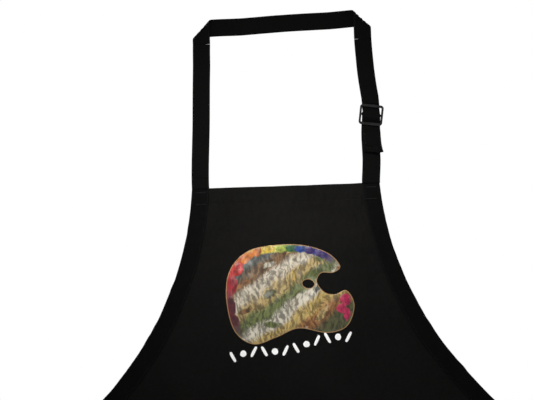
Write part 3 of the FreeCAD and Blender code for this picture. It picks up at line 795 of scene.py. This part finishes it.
def hems():
    low, high = -0.35 * MM, LENGTH + 0.35 * MM
    strips = [
        ("hem_top", "bib_top_hem", rounded(-BIB_HALF, BIB_HALF, 3 * MM), rounded(low, TOP_HEM, 1.5 * MM)),
        ("hem_bottom", "bottom_hem", rounded(-WAIST_HALF, WAIST_HALF, 4 * MM),
         rounded(LENGTH - BOTTOM_HEM, high, 2 * MM))]
    for side, name in SIDES:
        edges = sorted((side * (WAIST_HALF + 0.3 * MM), side * (WAIST_HALF - SIDE_HEM)))
        strips.append((
            "hem_side_" + name, "side_hem_" + name, rounded(*edges, 1.5 * MM),
            rounded(WAIST, LENGTH - BOTTOM_HEM - 0.2 * MM, 4 * MM)))
    made = []
    for name, node, xs, depths in strips:
        maker = Maker()
        slab(maker, CLOTH_AT, xs, depths, UNDER_HEM, UNDER_HEM - HEM)
        made.append(dress(maker.object(name, [HEM_TWILL]), "hem_cloth", node))
    return made


def body_stitches():
    reach, level = BIB_HALF - TAPE_WIDTH - 2 * MM, TOP_HEM - SEAM_IN
    rows = [("top", "top_hem_stitches", [(-reach, level), (reach, level)], -0.16 * MM)]
    reach, level = WAIST_HALF - SIDE_HEM - 1 * MM, LENGTH - BOTTOM_HEM + 1.6 * MM
    rows.append(("bottom", "bottom_hem_stitches", [(x, level) for x in np.linspace(-reach, reach, 30)], 0.08 * MM))
    for side, name in SIDES:
        x = side * (WAIST_HALF - SIDE_HEM + SEAM_IN)
        line = [(x, d) for d in np.linspace(ARMHOLE_DROP + 42 * MM, LENGTH - 2 * MM, 30)]
        rows.append(("side_" + name, "side_hem_stitches_" + name, line, -0.16 * MM))
    for name, node, line, height in rows:
        maker = Maker()
        sew(maker, CLOTH_AT, line, height, slot=0)
        threads(maker, "stitches_" + name, node)


def armhole_tapes():
    share = np.linspace(0, 1, 400)
    x, d = armhole(1, share, 0 * share)
    run = np.concatenate([[0], np.cumsum(np.hypot(np.diff(x), np.diff(d)))])
    length = run[-1]
    for side, name in SIDES:

        def place(s, u, h, side=side):
            t = np.interp(s, run, share) + np.maximum(s - length, 0) / ARMHOLE_DROP * 0.62
            return CLOTH_AT(*armhole(side, t, TAPE_WIDTH / 2 - u), h)

        maker = Maker()
        tape(maker, place, length + 27 * MM, TAPE_WIDTH, FACING, 2.4 * MM, 0.14 * MM, lift=0.05 * MM + FACING / 2)
        if side < 0:
            maker.faces = [face[::-1] for face in maker.faces]
        band = maker.object("armhole_binding_" + name, [BINDING, THREAD])
        dress(band, "tape_cloth", "armhole_tape_" + name, "armhole_stitches_" + name)

        tacks = Maker()
        for level in (5.2 * MM, TOP_HEM - 2.4 * MM):
            low, high = sorted((side * (BIB_HALF - 4.5 * MM), side * (BIB_HALF - TAPE_WIDTH + 4.5 * MM)))
            bar(tacks, CLOTH_AT, low, high, level, FACING + 0.10 * MM, slot=0)
        threads(tacks, "bar_tacks_" + name, "corner_tack_" + name)


# ---- neck tape

class Ribbon:
    """A tape's middle line with its width direction, by distance along it."""

    def __init__(self, points, across):
        steps = 24
        points = np.asarray(points, float)
        t = np.linspace(0, len(points) - 1, steps * (len(points) - 1) + 1)
        middle = smooth_at(points[:, None].repeat(2, 1), t, 0 * t)
        wide = smooth_at(np.asarray(across, float)[:, None].repeat(2, 1), t, 0 * t)
        self.run = np.concatenate([[0], np.cumsum(np.linalg.norm(np.diff(middle, axis=0), axis=1))])
        self.middle, self.length, self.marks = middle, self.run[-1], self.run[::steps]
        along = np.gradient(middle, axis=0)
        along /= np.linalg.norm(along, axis=1)[:, None]
        wide -= along * np.sum(wide * along, axis=1)[:, None]
        self.wide = wide / np.linalg.norm(wide, axis=1)[:, None]
        self.out = np.cross(along, self.wide)

    def __call__(self, s, u, h):
        def at(values):
            return np.stack([np.interp(s, self.run, values[:, k]) for k in range(3)], -1)
        return at(self.middle) + at(self.wide) * u[..., None] + at(self.out) * h[..., None]


def diagonal(middle, side, width, corner_z, apex_z, radius):
    """Turns a strip at x and z round a diagonal fold.

    Gives x and z, how far it is rolled, and what is past the fold.
    """
    corner = np.array([middle + side * width / 2, corner_z])
    apex = np.array([middle - side * width / 2, apex_z])
    along = (apex - corner) / np.linalg.norm(apex - corner)
    outward = np.array([-along[1], along[0]]) * (1 if side < 0 else -1)

    def turned(x, z, h):
        away = (x - corner[0]) * outward[0] + (z - corner[1]) * outward[1]
        turn = np.clip(away / radius, 0, math.pi)
        past = np.maximum(away - math.pi * radius, 0)
        shift = -np.maximum(away, 0) + (radius + h) * np.sin(turn) - past
        return x + outward[0] * shift, z + outward[1] * shift, (radius + h) * np.cos(turn), past

    return turned


def fold_place(side):
    """The tape hangs down in front, turns round a diagonal, and runs behind over the neck."""
    middle = (-100.5 if side < 0 else 104.0) * MM
    outer, inner = middle + side * TAPE_WIDTH / 2, middle - side * TAPE_WIDTH / 2
    radius = 2.0 * MM
    turned = diagonal(middle, side, TAPE_WIDTH, 0.035 * outer, 0.035 * inner + TAPE_WIDTH, radius)

    def place(s, u, h):
        x, z, roll, past = turned(middle + u, -8 * MM + s, h)
        return np.stack([x, -radius - roll, z], -1)

    return place


def neck_top():
    left, right = fold_place(-1), fold_place(1)
    centre = 1.75 * MM
    halves = []
    for place, side in ((left, -1), (right, 1)):
        probe = place(np.array([100 * MM]), np.array([0.0]), np.array([0.0]))[0]
        halves.append(100 * MM + abs(centre - probe[0]))
    total = halves[0] + halves[1]

    def place(s, u, h):
        """The two halves run in opposite directions from their folds, so the right one swaps its sides."""
        first = s <= halves[0]
        mirror = total - s
        a = left(np.minimum(s, halves[0]), u, h)
        b = right(np.minimum(mirror, halves[1]), -u, h)
        end_a = left(halves[0] + 0 * s, u, h)
        end_b = right(halves[1] + 0 * s, -u, h)
        gap = (end_b - end_a) / 2
        ease_a = np.clip((s - 0.45 * halves[0]) / (0.55 * halves[0]), 0, 1) ** 2
        ease_b = np.clip((mirror - 0.45 * halves[1]) / (0.55 * halves[1]), 0, 1) ** 2
        spot = np.where(first[..., None], a + gap * ease_a[..., None], b - gap * ease_b[..., None])
        x = spot[..., 0]
        over = np.clip((s - 40 * MM) / (30 * MM), 0, 1) * np.clip((mirror - 40 * MM) / (30 * MM), 0, 1)
        twist = 0.5 * MM * np.sin(x / (7 * MM)) * u / TAPE_WIDTH
        spot[..., 1] += over * (0.9 * MM * np.sin(x / (17 * MM) + 0.5) + twist)
        spot[..., 2] += over * (0.5 * MM * np.sin(x / (21 * MM) + 1.0) - 0.5 * MM)
        return spot

    return place, total


# the tape's middle in millimetres, then how far its width leans in y and z
LEFT_RUN = (
    (-100.5, -4.0, -8, 0, 0), (-100.9, -4.4, -18, 0, 0), (-101.3, -5.8, -36, 0.02, -0.01),
    (-102.4, -6.6, -60, -0.05, -0.02), (-103.5, -5.3, -86, 0.04, -0.03), (-104.5, -6.2, -112, -0.03, -0.045),
    (-106.0, -5.5, -138, 0.03, -0.05), (-107.2, -6.1, -160, 0, -0.06), (-107.9, -5.9, -178, 0, -0.02),
    (-108.0, -5.9, -191, 0, 0))
RIGHT_RUN = (
    (104.0, -4.0, -8, 0, 0), (104.4, -4.5, -18, 0, 0), (105.2, -6.0, -34, 0.02, 0), (106.6, -5.4, -52, -0.04, -0.03),
    (108.6, -6.2, -70, 0.02, -0.07), (110.3, -6.0, -82, 0, -0.11))
# x, y and z in millimetres from the slider's centre: the tape through it, its loose tail, and the buckle strap
THROUGH = (
    (0, 2.15, 13.2), (0, 2.15, 10.6), (0, 1.0, 7.4), (0, -3.2, 3.4), (0, -3.85, 0), (0, -3.2, -3.4), (0, 1.0, -7.4),
    (0, 2.15, -10.6), (0, 2.15, -13.2), (0, 2.15, -15.8))
TAIL = (
    (0, 1.3, -18.2), (0.1, -0.15, -21.2), (0.3, -0.95, -29.5), (0.7, -1.0, -37.5), (1.1, -0.3, -43.0),
    (1.5, -1.1, -47.0))
TAIL_WIDTHS = ((0.99, 0.08, -0.13), (0.99, 0.16, -0.12), (0.98, 0.06, -0.13), (0.98, -0.24, -0.15))
LOOP_REAR = ((0, 5.15, -40.0), (-1.4, 5.15, -28.0), (-1.2, 5.15, -17.0), (-0.5, 5.05, -9.5), (0, 4.1, -4.2))
LOOP_RADIUS, LOOP_ANGLES = 2.3, (0, 45, 90, 135, 180, 225, 262)
LOOP_FRONT = (
    (0, 2.5, -5.2), (0, 3.75, -9.5), (-1.2, 3.85, -17.0), (-1.6, 3.85, -28.0), (-1.4, 3.85, -40.0), (-1.2, 3.2, -56.0),
    (-2.0, 2.2, -70.0), (-2.8, 2.15, -80.0), (-3.0, 2.15, -86.0))
LOOP_WIDTHS = ((1, 0.03, -0.12), (1, -0.03, -0.08), (1, 0, -0.04), (1, 0, 0), (1, 0, 0))
TILTED = (math.cos(TILT), 0, -math.sin(TILT))
ROOT_TOP, ROOT_FOOT = -179.5 * MM, -190.5 * MM     # where the tapes bend at the bib's top edge
LOOP_WIDTH, LOOP_TAPE = 23 * MM, 1.15 * MM


def run_points(rows):
    return [(x * MM, y * MM, z * MM) for x, y, z, _, _ in rows], [(1, y, z) for *_, y, z in rows]


def at_slider(rows):
    return [(SLIDER.x + x * MM, SLIDER.y + y * MM, SLIDER.z + z * MM) for x, y, z in rows]


def tape_part(maker, name, bodies, x, y, top, foot, *nodes):
    """A stretch of tape, made into an object of its own and attached to no body. The bodies and the two heights it is
    given are not used.
    """
    piece = maker.object(name, [BINDING, THREAD])
    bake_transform(piece)
    return dress(piece, "tape_cloth", *nodes, body=None)


def neck_pieces():
    place, total = neck_top()
    maker = Maker()
    tape(maker, place, total, TAPE_WIDTH, TAPE, 1.6 * MM, 0.10 * MM)
    top = maker.object("neck_tape_over", [BINDING, THREAD])
    dress(top, "tape_cloth", "neck_tape_top", "neck_tape_fold_left", "neck_tape_fold_right", body="neck_loop")
    left_run()
    right_run()
    buckle_strap()


def left_run():
    ribbon = Ribbon(*run_points(LEFT_RUN))
    cut = ribbon.marks[8]
    for name, low, high, bodies, x, top, foot, nodes, step in (
            ("run_left", 0.0, cut, ("neck_loop", "neck_sides"), -100.5, -10 * MM, -174 * MM, ("neck_tape_left",), 1.8),
            ("root_left", cut, ribbon.length, ("neck_sides", "apron_body"), -107.9, ROOT_TOP, ROOT_FOOT, (), 1.0)):
        maker = Maker()
        tape(maker, ribbon, high - low, TAPE_WIDTH, TAPE, step * MM, 0.10 * MM, start=low)
        part = tape_part(maker, "neck_tape_" + name, bodies, x * MM, STRAP_Y, top, foot, *nodes)


def right_run():
    above, widths = run_points(RIGHT_RUN)
    widths += [TILTED] * (len(THROUGH) + 2) + list(TAIL_WIDTHS)
    strap = Ribbon(above + at_slider(THROUGH) + at_slider(TAIL), widths)
    marks = strap.marks
    tail_start = marks[17]
    # name, ends along the tape, the two bodies, two heights from the slider, nodes, step
    pieces = (
        ("run_right", 0.0, marks[6], ("neck_loop", "neck_sides"), 96, 16, ("neck_tape_right",), 1.8),
        ("into_slider", marks[6], marks[10], ("neck_sides", "slider"), 14.5, 7.0, ("neck_tape_in_slider",), 0.7),
        ("out_of_slider", marks[10], marks[15], ("slider", "neck_sides"), -7.0, -14.0, (), 0.7),
        ("exit", marks[15], tail_start, ("neck_sides", "tail_root"), -15.5, -20.5, ("tail_exit",), 0.7),
        ("tail", tail_start, strap.length, ("tail_root", "tail"), -21.5, -43.0, ("tape_tail", "tail_end_fold"), 1.0))

    def flared(s, u, h):
        """The loose tail widens and drops towards its lower right corner, where the end was turned up."""
        share = np.clip((s - tail_start) / (strap.length - tail_start), 0, 1)
        spot = strap(s, u * (1 + 0.13 * share ** 2), h)
        spot[..., 2] -= share * (0.20 * u + 0.9 * MM * np.sin(u / (3.4 * MM)) * share ** 2)
        spot[..., 1] -= 2.2 * MM * share ** 3 * np.clip(u / (TAPE_WIDTH / 2), 0, 1) ** 3
        return spot

    for name, low, high, bodies, top, foot, nodes, step in pieces:
        in_slider = "slider" in name
        maker = Maker()
        tape(
            maker, flared, high - low, TAPE_WIDTH, 1.3 * MM if in_slider else TAPE, step * MM, 0.08 * MM,
            start=low, sewn=name in ("run_right", "tail"))
        if name == "tail":
            tape(
                maker, flared, TURNED_END, TAPE_WIDTH * 0.985, 0.8 * MM, 0.8 * MM, 0.05 * MM,
                start=strap.length - TURNED_END, sewn=False, lift=TAPE / 2 + 0.45 * MM)
            row = strap.length - 5.4 * MM
            sew(maker, flared, [(row, -9 * MM), (row, 9 * MM)], TAPE / 2 + 0.85 * MM)
        height = [SLIDER.z + z * MM for z in (top, foot)]
        piece = tape_part(maker, "neck_tape_" + name, bodies, SLIDER.x, SLIDER.y, *height, *nodes)
        if name == "exit":
            continue


def buckle_strap():
    turns = [math.radians(a) for a in LOOP_ANGLES]
    around = [(0, LOOP_RADIUS * math.cos(a), LOOP_RADIUS * math.sin(a)) for a in turns]
    points = at_slider(LOOP_REAR + tuple(around) + LOOP_FRONT)
    buckle = Ribbon(points, [TILTED] * (len(points) - len(LOOP_WIDTHS)) + list(LOOP_WIDTHS))
    maker = Maker()
    tape(maker, buckle, buckle.length, LOOP_WIDTH, LOOP_TAPE, 1.0 * MM, 0.06 * MM)
    strap = tape_part(
        maker, "buckle_strap_loop", ("neck_sides", "apron_body"), 108 * MM, STRAP_Y, ROOT_TOP, ROOT_FOOT,
        "buckle_strap")
    maker = Maker()
    for depth in (21, 37):
        middle = float(np.interp(depth, [17, 28, 40], buckle.marks[14:17]))
        for k in (-1, 0, 1):
            row = middle + k * 1.1 * MM
            sew(maker, buckle, [(row, -9 * MM), (row, 9 * MM)], 0.55 * MM, 2.4 * MM, 2.2 * MM, slot=0)
    threads(maker, "buckle_strap_sewing", "buckle_strap_stitches", body="neck_sides")


# ---- pocket

def pocket():
    def bulge(x, d):
        rise = np.clip((POCKET_FOOT - d) / (POCKET_FOOT - POCKET_TOP), 0, 1)
        pouch = np.sin(math.pi * x / POCKET_HALF) ** 2
        wrinkle = 0.10 * np.sin(x / (23 * MM) + 3 * rise) + 0.06 * np.sin(x / (9 * MM) - 5 * rise)
        return POUCH_DEPTH * pouch * ease(rise) * (1 + wrinkle)

    def place(x, d, h):
        dent = 0.3 * MM * hump(d, POCKET_TOP + POCKET_BAND - 1.5 * MM, 1.4 * MM)
        return CLOTH_AT(x, d, h + bulge(x, d) - dent)

    xs = rounded(-POCKET_HALF, POCKET_HALF, 2.6 * MM)
    for name, node, top, foot, step, heights, cloth in (
            ("pocket_cloth", "pocket_panel", POCKET_TOP, POCKET_FOOT, 3.0, (0.9, 0.2), POCKET_TWILL),
            ("pocket_top_band", "pocket_band", POCKET_TOP - 0.3 * MM, POCKET_TOP + POCKET_BAND, 1.4, (1.75, 0.95),
             HEM_TWILL)):
        maker = Maker()
        slab(maker, place, xs, rounded(top, foot, step * MM), heights[0] * MM, heights[1] * MM)
        dress(maker.object(name, [cloth]), "pocket_cloth", node)

    maker = Maker()
    inset = POCKET_HALF - 2 * MM
    columns = (-inset, 0.0, inset)
    low = POCKET_TOP + POCKET_BAND + 1 * MM
    for x in columns:
        sew(maker, place, [(x, d) for d in np.linspace(low, POCKET_FOOT - 3 * MM, 16)], 0.9 * MM, slot=0)
    for level, count, height in ((POCKET_FOOT - 2.4 * MM, 30, 0.9), (low - 2.6 * MM, 60, 2.02)):
        sew(maker, place, [(x, level) for x in np.linspace(-inset, inset, count)], height * MM, slot=0)
    threads(maker, "pocket_sewing", "pocket_stitches")
    maker = Maker()
    for x in columns:
        for k in range(20):
            d = POCKET_TOP + 2.4 * MM + 0.58 * MM * k
            slant = 0.15 * MM * (-1) ** k
            line = [(x - 1.1 * MM, d - slant), (x + 1.1 * MM, d + slant)]
            sew(maker, place, line, 1.8 * MM, 2.2 * MM, 2.1 * MM, 0.25 * MM, slot=0)
    threads(maker, "pocket_bar_tacks", "pocket_tacks")


# ---- waist ties

def waist_ties():
    low = BIB_TOP - WAIST - TIE_WIDTH
    radius = 1.7 * MM
    for side, name in SIDES:
        strap_y = (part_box("waist_tie_" + name)[0].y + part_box("waist_tie_" + name)[1].y) / 2
        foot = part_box("waist_tie_" + name)[0].z
        middle = side * TIE_X
        turned = diagonal(middle, side, TIE_WIDTH, low, low + TIE_WIDTH, radius)

        def place(s, u, h):
            """Up the tie from its end, round its fold and in behind the body's side hem."""
            z = foot + s
            px, pz, roll, past = turned(middle + u, z, h)
            drop = ease(np.clip((low - 20 * MM - z) / (120 * MM), 0, 1))
            px = px + drop * 1.8 * MM * np.sin((z - foot) / (62 * MM) + side)
            sway = 3.2 * MM * np.sin((z - foot) / (55 * MM) + 1.2 * side)
            y = strap_y - radius + roll + drop * (sway + u * 0.22 * np.sin((z - foot) / (90 * MM)))
            inward = np.clip((WAIST_HALF + 3 * MM - np.abs(px)) / (9 * MM), 0, 1) * (past > 0)
            back = CLOTH_AT(np.sign(px) * np.minimum(np.abs(px), WAIST_HALF), BIB_TOP - pz, 0 * px)[..., 1]
            tab_y = back + CLOTH + HEM + BEHIND_TAB + TIE / 2 - h
            return np.stack([px, y * (1 - inward) + tab_y * inward, pz], -1)

        length = low - foot + 12.5 * MM + 36 * MM
        maker = Maker()
        tape(maker, place, length, TIE_WIDTH, TIE, 2.6 * MM, 0.10 * MM)
        tape(
            maker, place, TIE_TURNED_END, TIE_WIDTH * 0.985, TIE * 0.9, 1.2 * MM, 0.05 * MM, sewn=False,
            lift=TIE + 0.06 * MM)
        sew(maker, place, [(10 * MM, -10.5 * MM), (10 * MM, 10.5 * MM)], 1.62 * TIE)
        tie = maker.object("tie_strap_" + name, [TIE_TWILL, THREAD])
        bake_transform(tie)
        dress(tie, "tape_cloth", "waist_tie_" + name, "tie_end_hem_" + name, "tie_tab_" + name, body=None)

        maker = Maker()
        behind = -(CLOTH + HEM + BEHIND_TAB + TIE + 0.12 * MM)
        ends = sorted((side * (WAIST_HALF - 5 * MM), side * (WAIST_HALF - 19 * MM)))
        for level in (WAIST + 8.5 * MM, ARMHOLE_DROP + TIE_WIDTH + 0.5 * MM):
            bar(maker, CLOTH_AT, *ends, level, behind, slot=0)
        threads(maker, "tie_bar_tacks_" + name, "tie_tack_" + name)


# ---- printed picture

def closed_curve(points, steps=12):
    """A smooth closed line through the given points."""
    points = np.asarray(points, float)
    count = len(points)
    out = []
    for i in range(count):
        p = [points[(i + k) % count] for k in (-1, 0, 1, 2)]
        for j in range(steps):
            w = weights_of(j / steps)
            out.append(sum(wk * pk for wk, pk in zip(w, p)))
    return np.array(out)


def inside(points, ring):
    x, y = points[:, 0][:, None], points[:, 1][:, None]
    x0, y0 = ring[:, 0], ring[:, 1]
    x1, y1 = np.roll(x0, -1), np.roll(y0, -1)
    crosses = ((y0 > y) != (y1 > y)) & (x < (x1 - x0) * (y - y0) / (y1 - y0 + 1e-15) + x0)
    return crosses.sum(1) % 2 == 1


def distance(points, ring):
    a, b = ring, np.roll(ring, -1, axis=0)
    d = b - a
    best, where = np.full(len(points), 9.0), np.zeros(len(points))
    for i in range(len(ring)):
        t = np.clip(((points - a[i]) @ d[i]) / (d[i] @ d[i] + 1e-15), 0, 1)
        gap = np.linalg.norm(points - a[i] - t[:, None] * d[i], axis=1)
        near = gap < best
        best[near], where[near] = gap[near], (i + t[near]) / len(ring)
    return best, where


HOLE_AT = (24 * MM, 12 * MM)
HOLE_SIZE = (7.5 * MM, 5.5 * MM)
HOLE_TURN = math.radians(-12)
BOARD_STEP = 1.6           # of its mesh, millimetres
BOARD = [
    (-80, 0), (-74, 33), (-52, 55), (-18, 62), (18, 61), (50, 50), (65, 33), (56, 25), (41, 25), (35, 14),
    (44, 1), (57, -2), (72, 2), (81, -17), (71, -42), (46, -50), (10, -43), (-18, -53), (-48, -61), (-72, -42)]


def printed_board():
    ring = closed_curve(np.array(BOARD) * MM)
    angle = np.linspace(0, 2 * math.pi, 40, endpoint=False)
    hole = np.stack([HOLE_SIZE[0] * np.cos(angle), HOLE_SIZE[1] * np.sin(angle)], -1)
    cos, sin = math.cos(HOLE_TURN), math.sin(HOLE_TURN)
    hole = hole @ np.array([[cos, sin], [-sin, cos]]) + HOLE_AT
    gx, gz = np.meshgrid(np.arange(-82, 83, BOARD_STEP) * MM, np.arange(-63, 64, BOARD_STEP) * MM)
    gx = gx + (np.arange(gx.shape[0]) % 2)[:, None] * BOARD_STEP * MM / 2
    grid = np.stack([gx.ravel(), gz.ravel()], -1)
    grid = grid[inside(grid, ring) & ~inside(grid, hole)]
    grid = grid[(distance(grid, ring)[0] > 0.8 * MM) & (distance(grid, hole)[0] > 0.8 * MM)]
    points = np.concatenate([ring, hole, grid])
    loops = [list(range(len(ring))), list(range(len(ring), len(ring) + len(hole)))]
    edges = [(loop[i], loop[(i + 1) % len(loop)]) for loop in loops for i in range(len(loop))]
    found = delaunay_2d_cdt([Vector(p) for p in points], edges, [], 0, 1e-7)
    flat = np.array([tuple(v) for v in found[0]])
    tris = np.array(found[2])
    centre = flat[tris].mean(1)
    tris = tris[inside(centre, ring) & ~inside(centre, hole)]
    a, b, c = flat[tris[:, 0]], flat[tris[:, 1]], flat[tris[:, 2]]
    area = (b[:, 0] - a[:, 0]) * (c[:, 1] - a[:, 1]) - (b[:, 1] - a[:, 1]) * (c[:, 0] - a[:, 0])
    tris = np.where((area > 0)[:, None], tris, tris[:, ::-1])

    near, share = distance(flat, ring)
    near_hole, _ = distance(flat, hole)
    depth = PALETTE_DEPTH - flat[:, 1]
    relief = 0.05 * MM * np.sin(flat[:, 0] / (2.1 * MM) + 2 * np.sin(flat[:, 1] / (5 * MM)))
    lift = 0.16 * MM + relief * np.clip(near / (2 * MM), 0, 1)
    front = CLOTH_AT(flat[:, 0], depth, lift)
    back = CLOTH_AT(flat[:, 0], depth, 0.03 * MM + 0 * lift)
    count = len(flat)
    counts = {}
    for tri in tris.tolist():
        for p, q in zip(tri, tri[1:] + tri[:1]):
            counts[(p, q)] = counts.get((p, q), 0) + 1
    walls = [(q, p, count + p, count + q) for p, q in counts if (q, p) not in counts]
    faces = tris.tolist() + [[count + i for i in reversed(tri)] for tri in tris.tolist()] + walls
    maker = Maker()
    place = np.stack([flat[:, 0], flat[:, 1], 0 * near], -1)
    maker.add(np.concatenate([front, back]), faces, 0, np.concatenate([place, place]))
    shifted = (share + 2 / 20) % 1.0
    rim = np.stack([np.minimum(near, near_hole), shifted, 0 * near], -1)
    board = maker.object("print_picture", [board_material()], {"rim": np.concatenate([rim, rim])})
    dress(board, "print_board", "print_palette")


def dab(maker, x, z, width, height, turn, seed, peak, base, rough=0.10, swell=1.0, blunt=1.0):
    """A low drop of paint with an uneven outline."""
    rng = np.random.default_rng(seed)
    phase = rng.uniform(0, 2 * math.pi, 4)
    spokes, rings = 36, 7
    angle = np.arange(spokes) * 2 * math.pi / spokes
    wobble = 1 + rough * (
        np.sin(2 * angle + phase[0]) + 0.7 * np.sin(3 * angle + phase[1]) + 0.5 * np.sin(5 * angle + phase[2]))
    cos, sin = math.cos(math.radians(turn)), math.sin(math.radians(turn))
    share = np.concatenate([np.linspace(0.14, 0.86, rings - 2), [0.95, 1.0]])
    r, a = np.meshgrid(share, np.arange(spokes), indexing="ij")
    across, up = [np.sign(v) * np.abs(v) ** blunt for v in (np.cos(angle), np.sin(angle))]
    px = r * (wobble * across)[None, :] * width / 2 * swell
    pz = r * (wobble * up)[None, :] * height / 2 * swell
    px = np.concatenate([[0], px.ravel()])
    pz = np.concatenate([[0], pz.ravel()])
    radius = np.concatenate([[0], r.ravel()])
    fx, fz = (x + px * cos - pz * sin) * MM, (z + px * sin + pz * cos) * MM
    streak = 0.3 * np.sin((px * sin + pz * cos) * 3.1 + phase[3]) * (1 - radius ** 2)
    top = base + peak * np.sqrt(np.clip(1 - radius ** 4, 0, 1)) * (1 + streak)
    depth = PALETTE_DEPTH - fz
    front = CLOTH_AT(fx, depth, top)
    back = CLOTH_AT(fx, depth, base * 0.8 + 0 * top)
    count = len(fx)
    faces = []
    for i in range(spokes):
        j = (i + 1) % spokes
        faces.append((0, 1 + i, 1 + j))
        faces.append((count, count + 1 + j, count + 1 + i))
        for k in range(len(share) - 1):
            p, q = 1 + k * spokes + i, 1 + k * spokes + j
            faces.append((p, p + spokes, q + spokes, q))
            faces.append((count + p, count + q, count + q + spokes, count + p + spokes))
        p, q = 1 + (len(share) - 1) * spokes + i, 1 + (len(share) - 1) * spokes + j
        faces.append((p, count + p, count + q, q))
    flat = np.stack([fx, fz, 0 * fx], -1)
    maker.add(np.concatenate([front, back]), faces, 0, np.concatenate([flat, flat]))


def printed_paint():
    for number, (name, (colour, dabs)) in enumerate(PAINTS.items()):
        maker = Maker()
        for k, (x, z, width, height, turn) in enumerate(dabs):
            dab(maker, x, z, width, height, turn, 10 * number + k, 0.22 * MM, 0.20 * MM, swell=1.06)
        paint = maker.object("print_dab_" + name, [ink_material("ink_" + name, colour, 7 * number)])
        dress(paint, "print_" + name, "print_paint_" + name)


MARKS, MARK_SEED = 12, 200


def printed_marks():
    """A row of dots and short strokes, with no letters in it, along a wave under the board."""
    maker = Maker()
    for i in range(MARKS):
        share = i / (MARKS - 1)
        x = -74 + 146 * share
        z = -77 + 22 * share + 3 * math.sin(3 * math.pi * share + 0.3)
        width, height, turn, blunt = ((14, 3.8, 118, 0.62), (8, 8, 0, 1.0), (14, 3.8, 62, 0.62))[i % 3]
        dab(maker, x, z, width, height, turn, MARK_SEED + i, 0.06 * MM, 0.12 * MM, 0.03, blunt=blunt)
    dress(maker.object("print_strokes", [white_ink()]), "print_white", "print_marks")


cloth = dress(body(), "twill_cloth", "body_panel")
hem_pieces = hems()
body_stitches()
armhole_tapes()
neck_pieces()
pocket()
waist_ties()
printed_board()
printed_paint()
printed_marks()

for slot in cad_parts["slider_frame"].material_slots:
    slot.material = PLASTIC
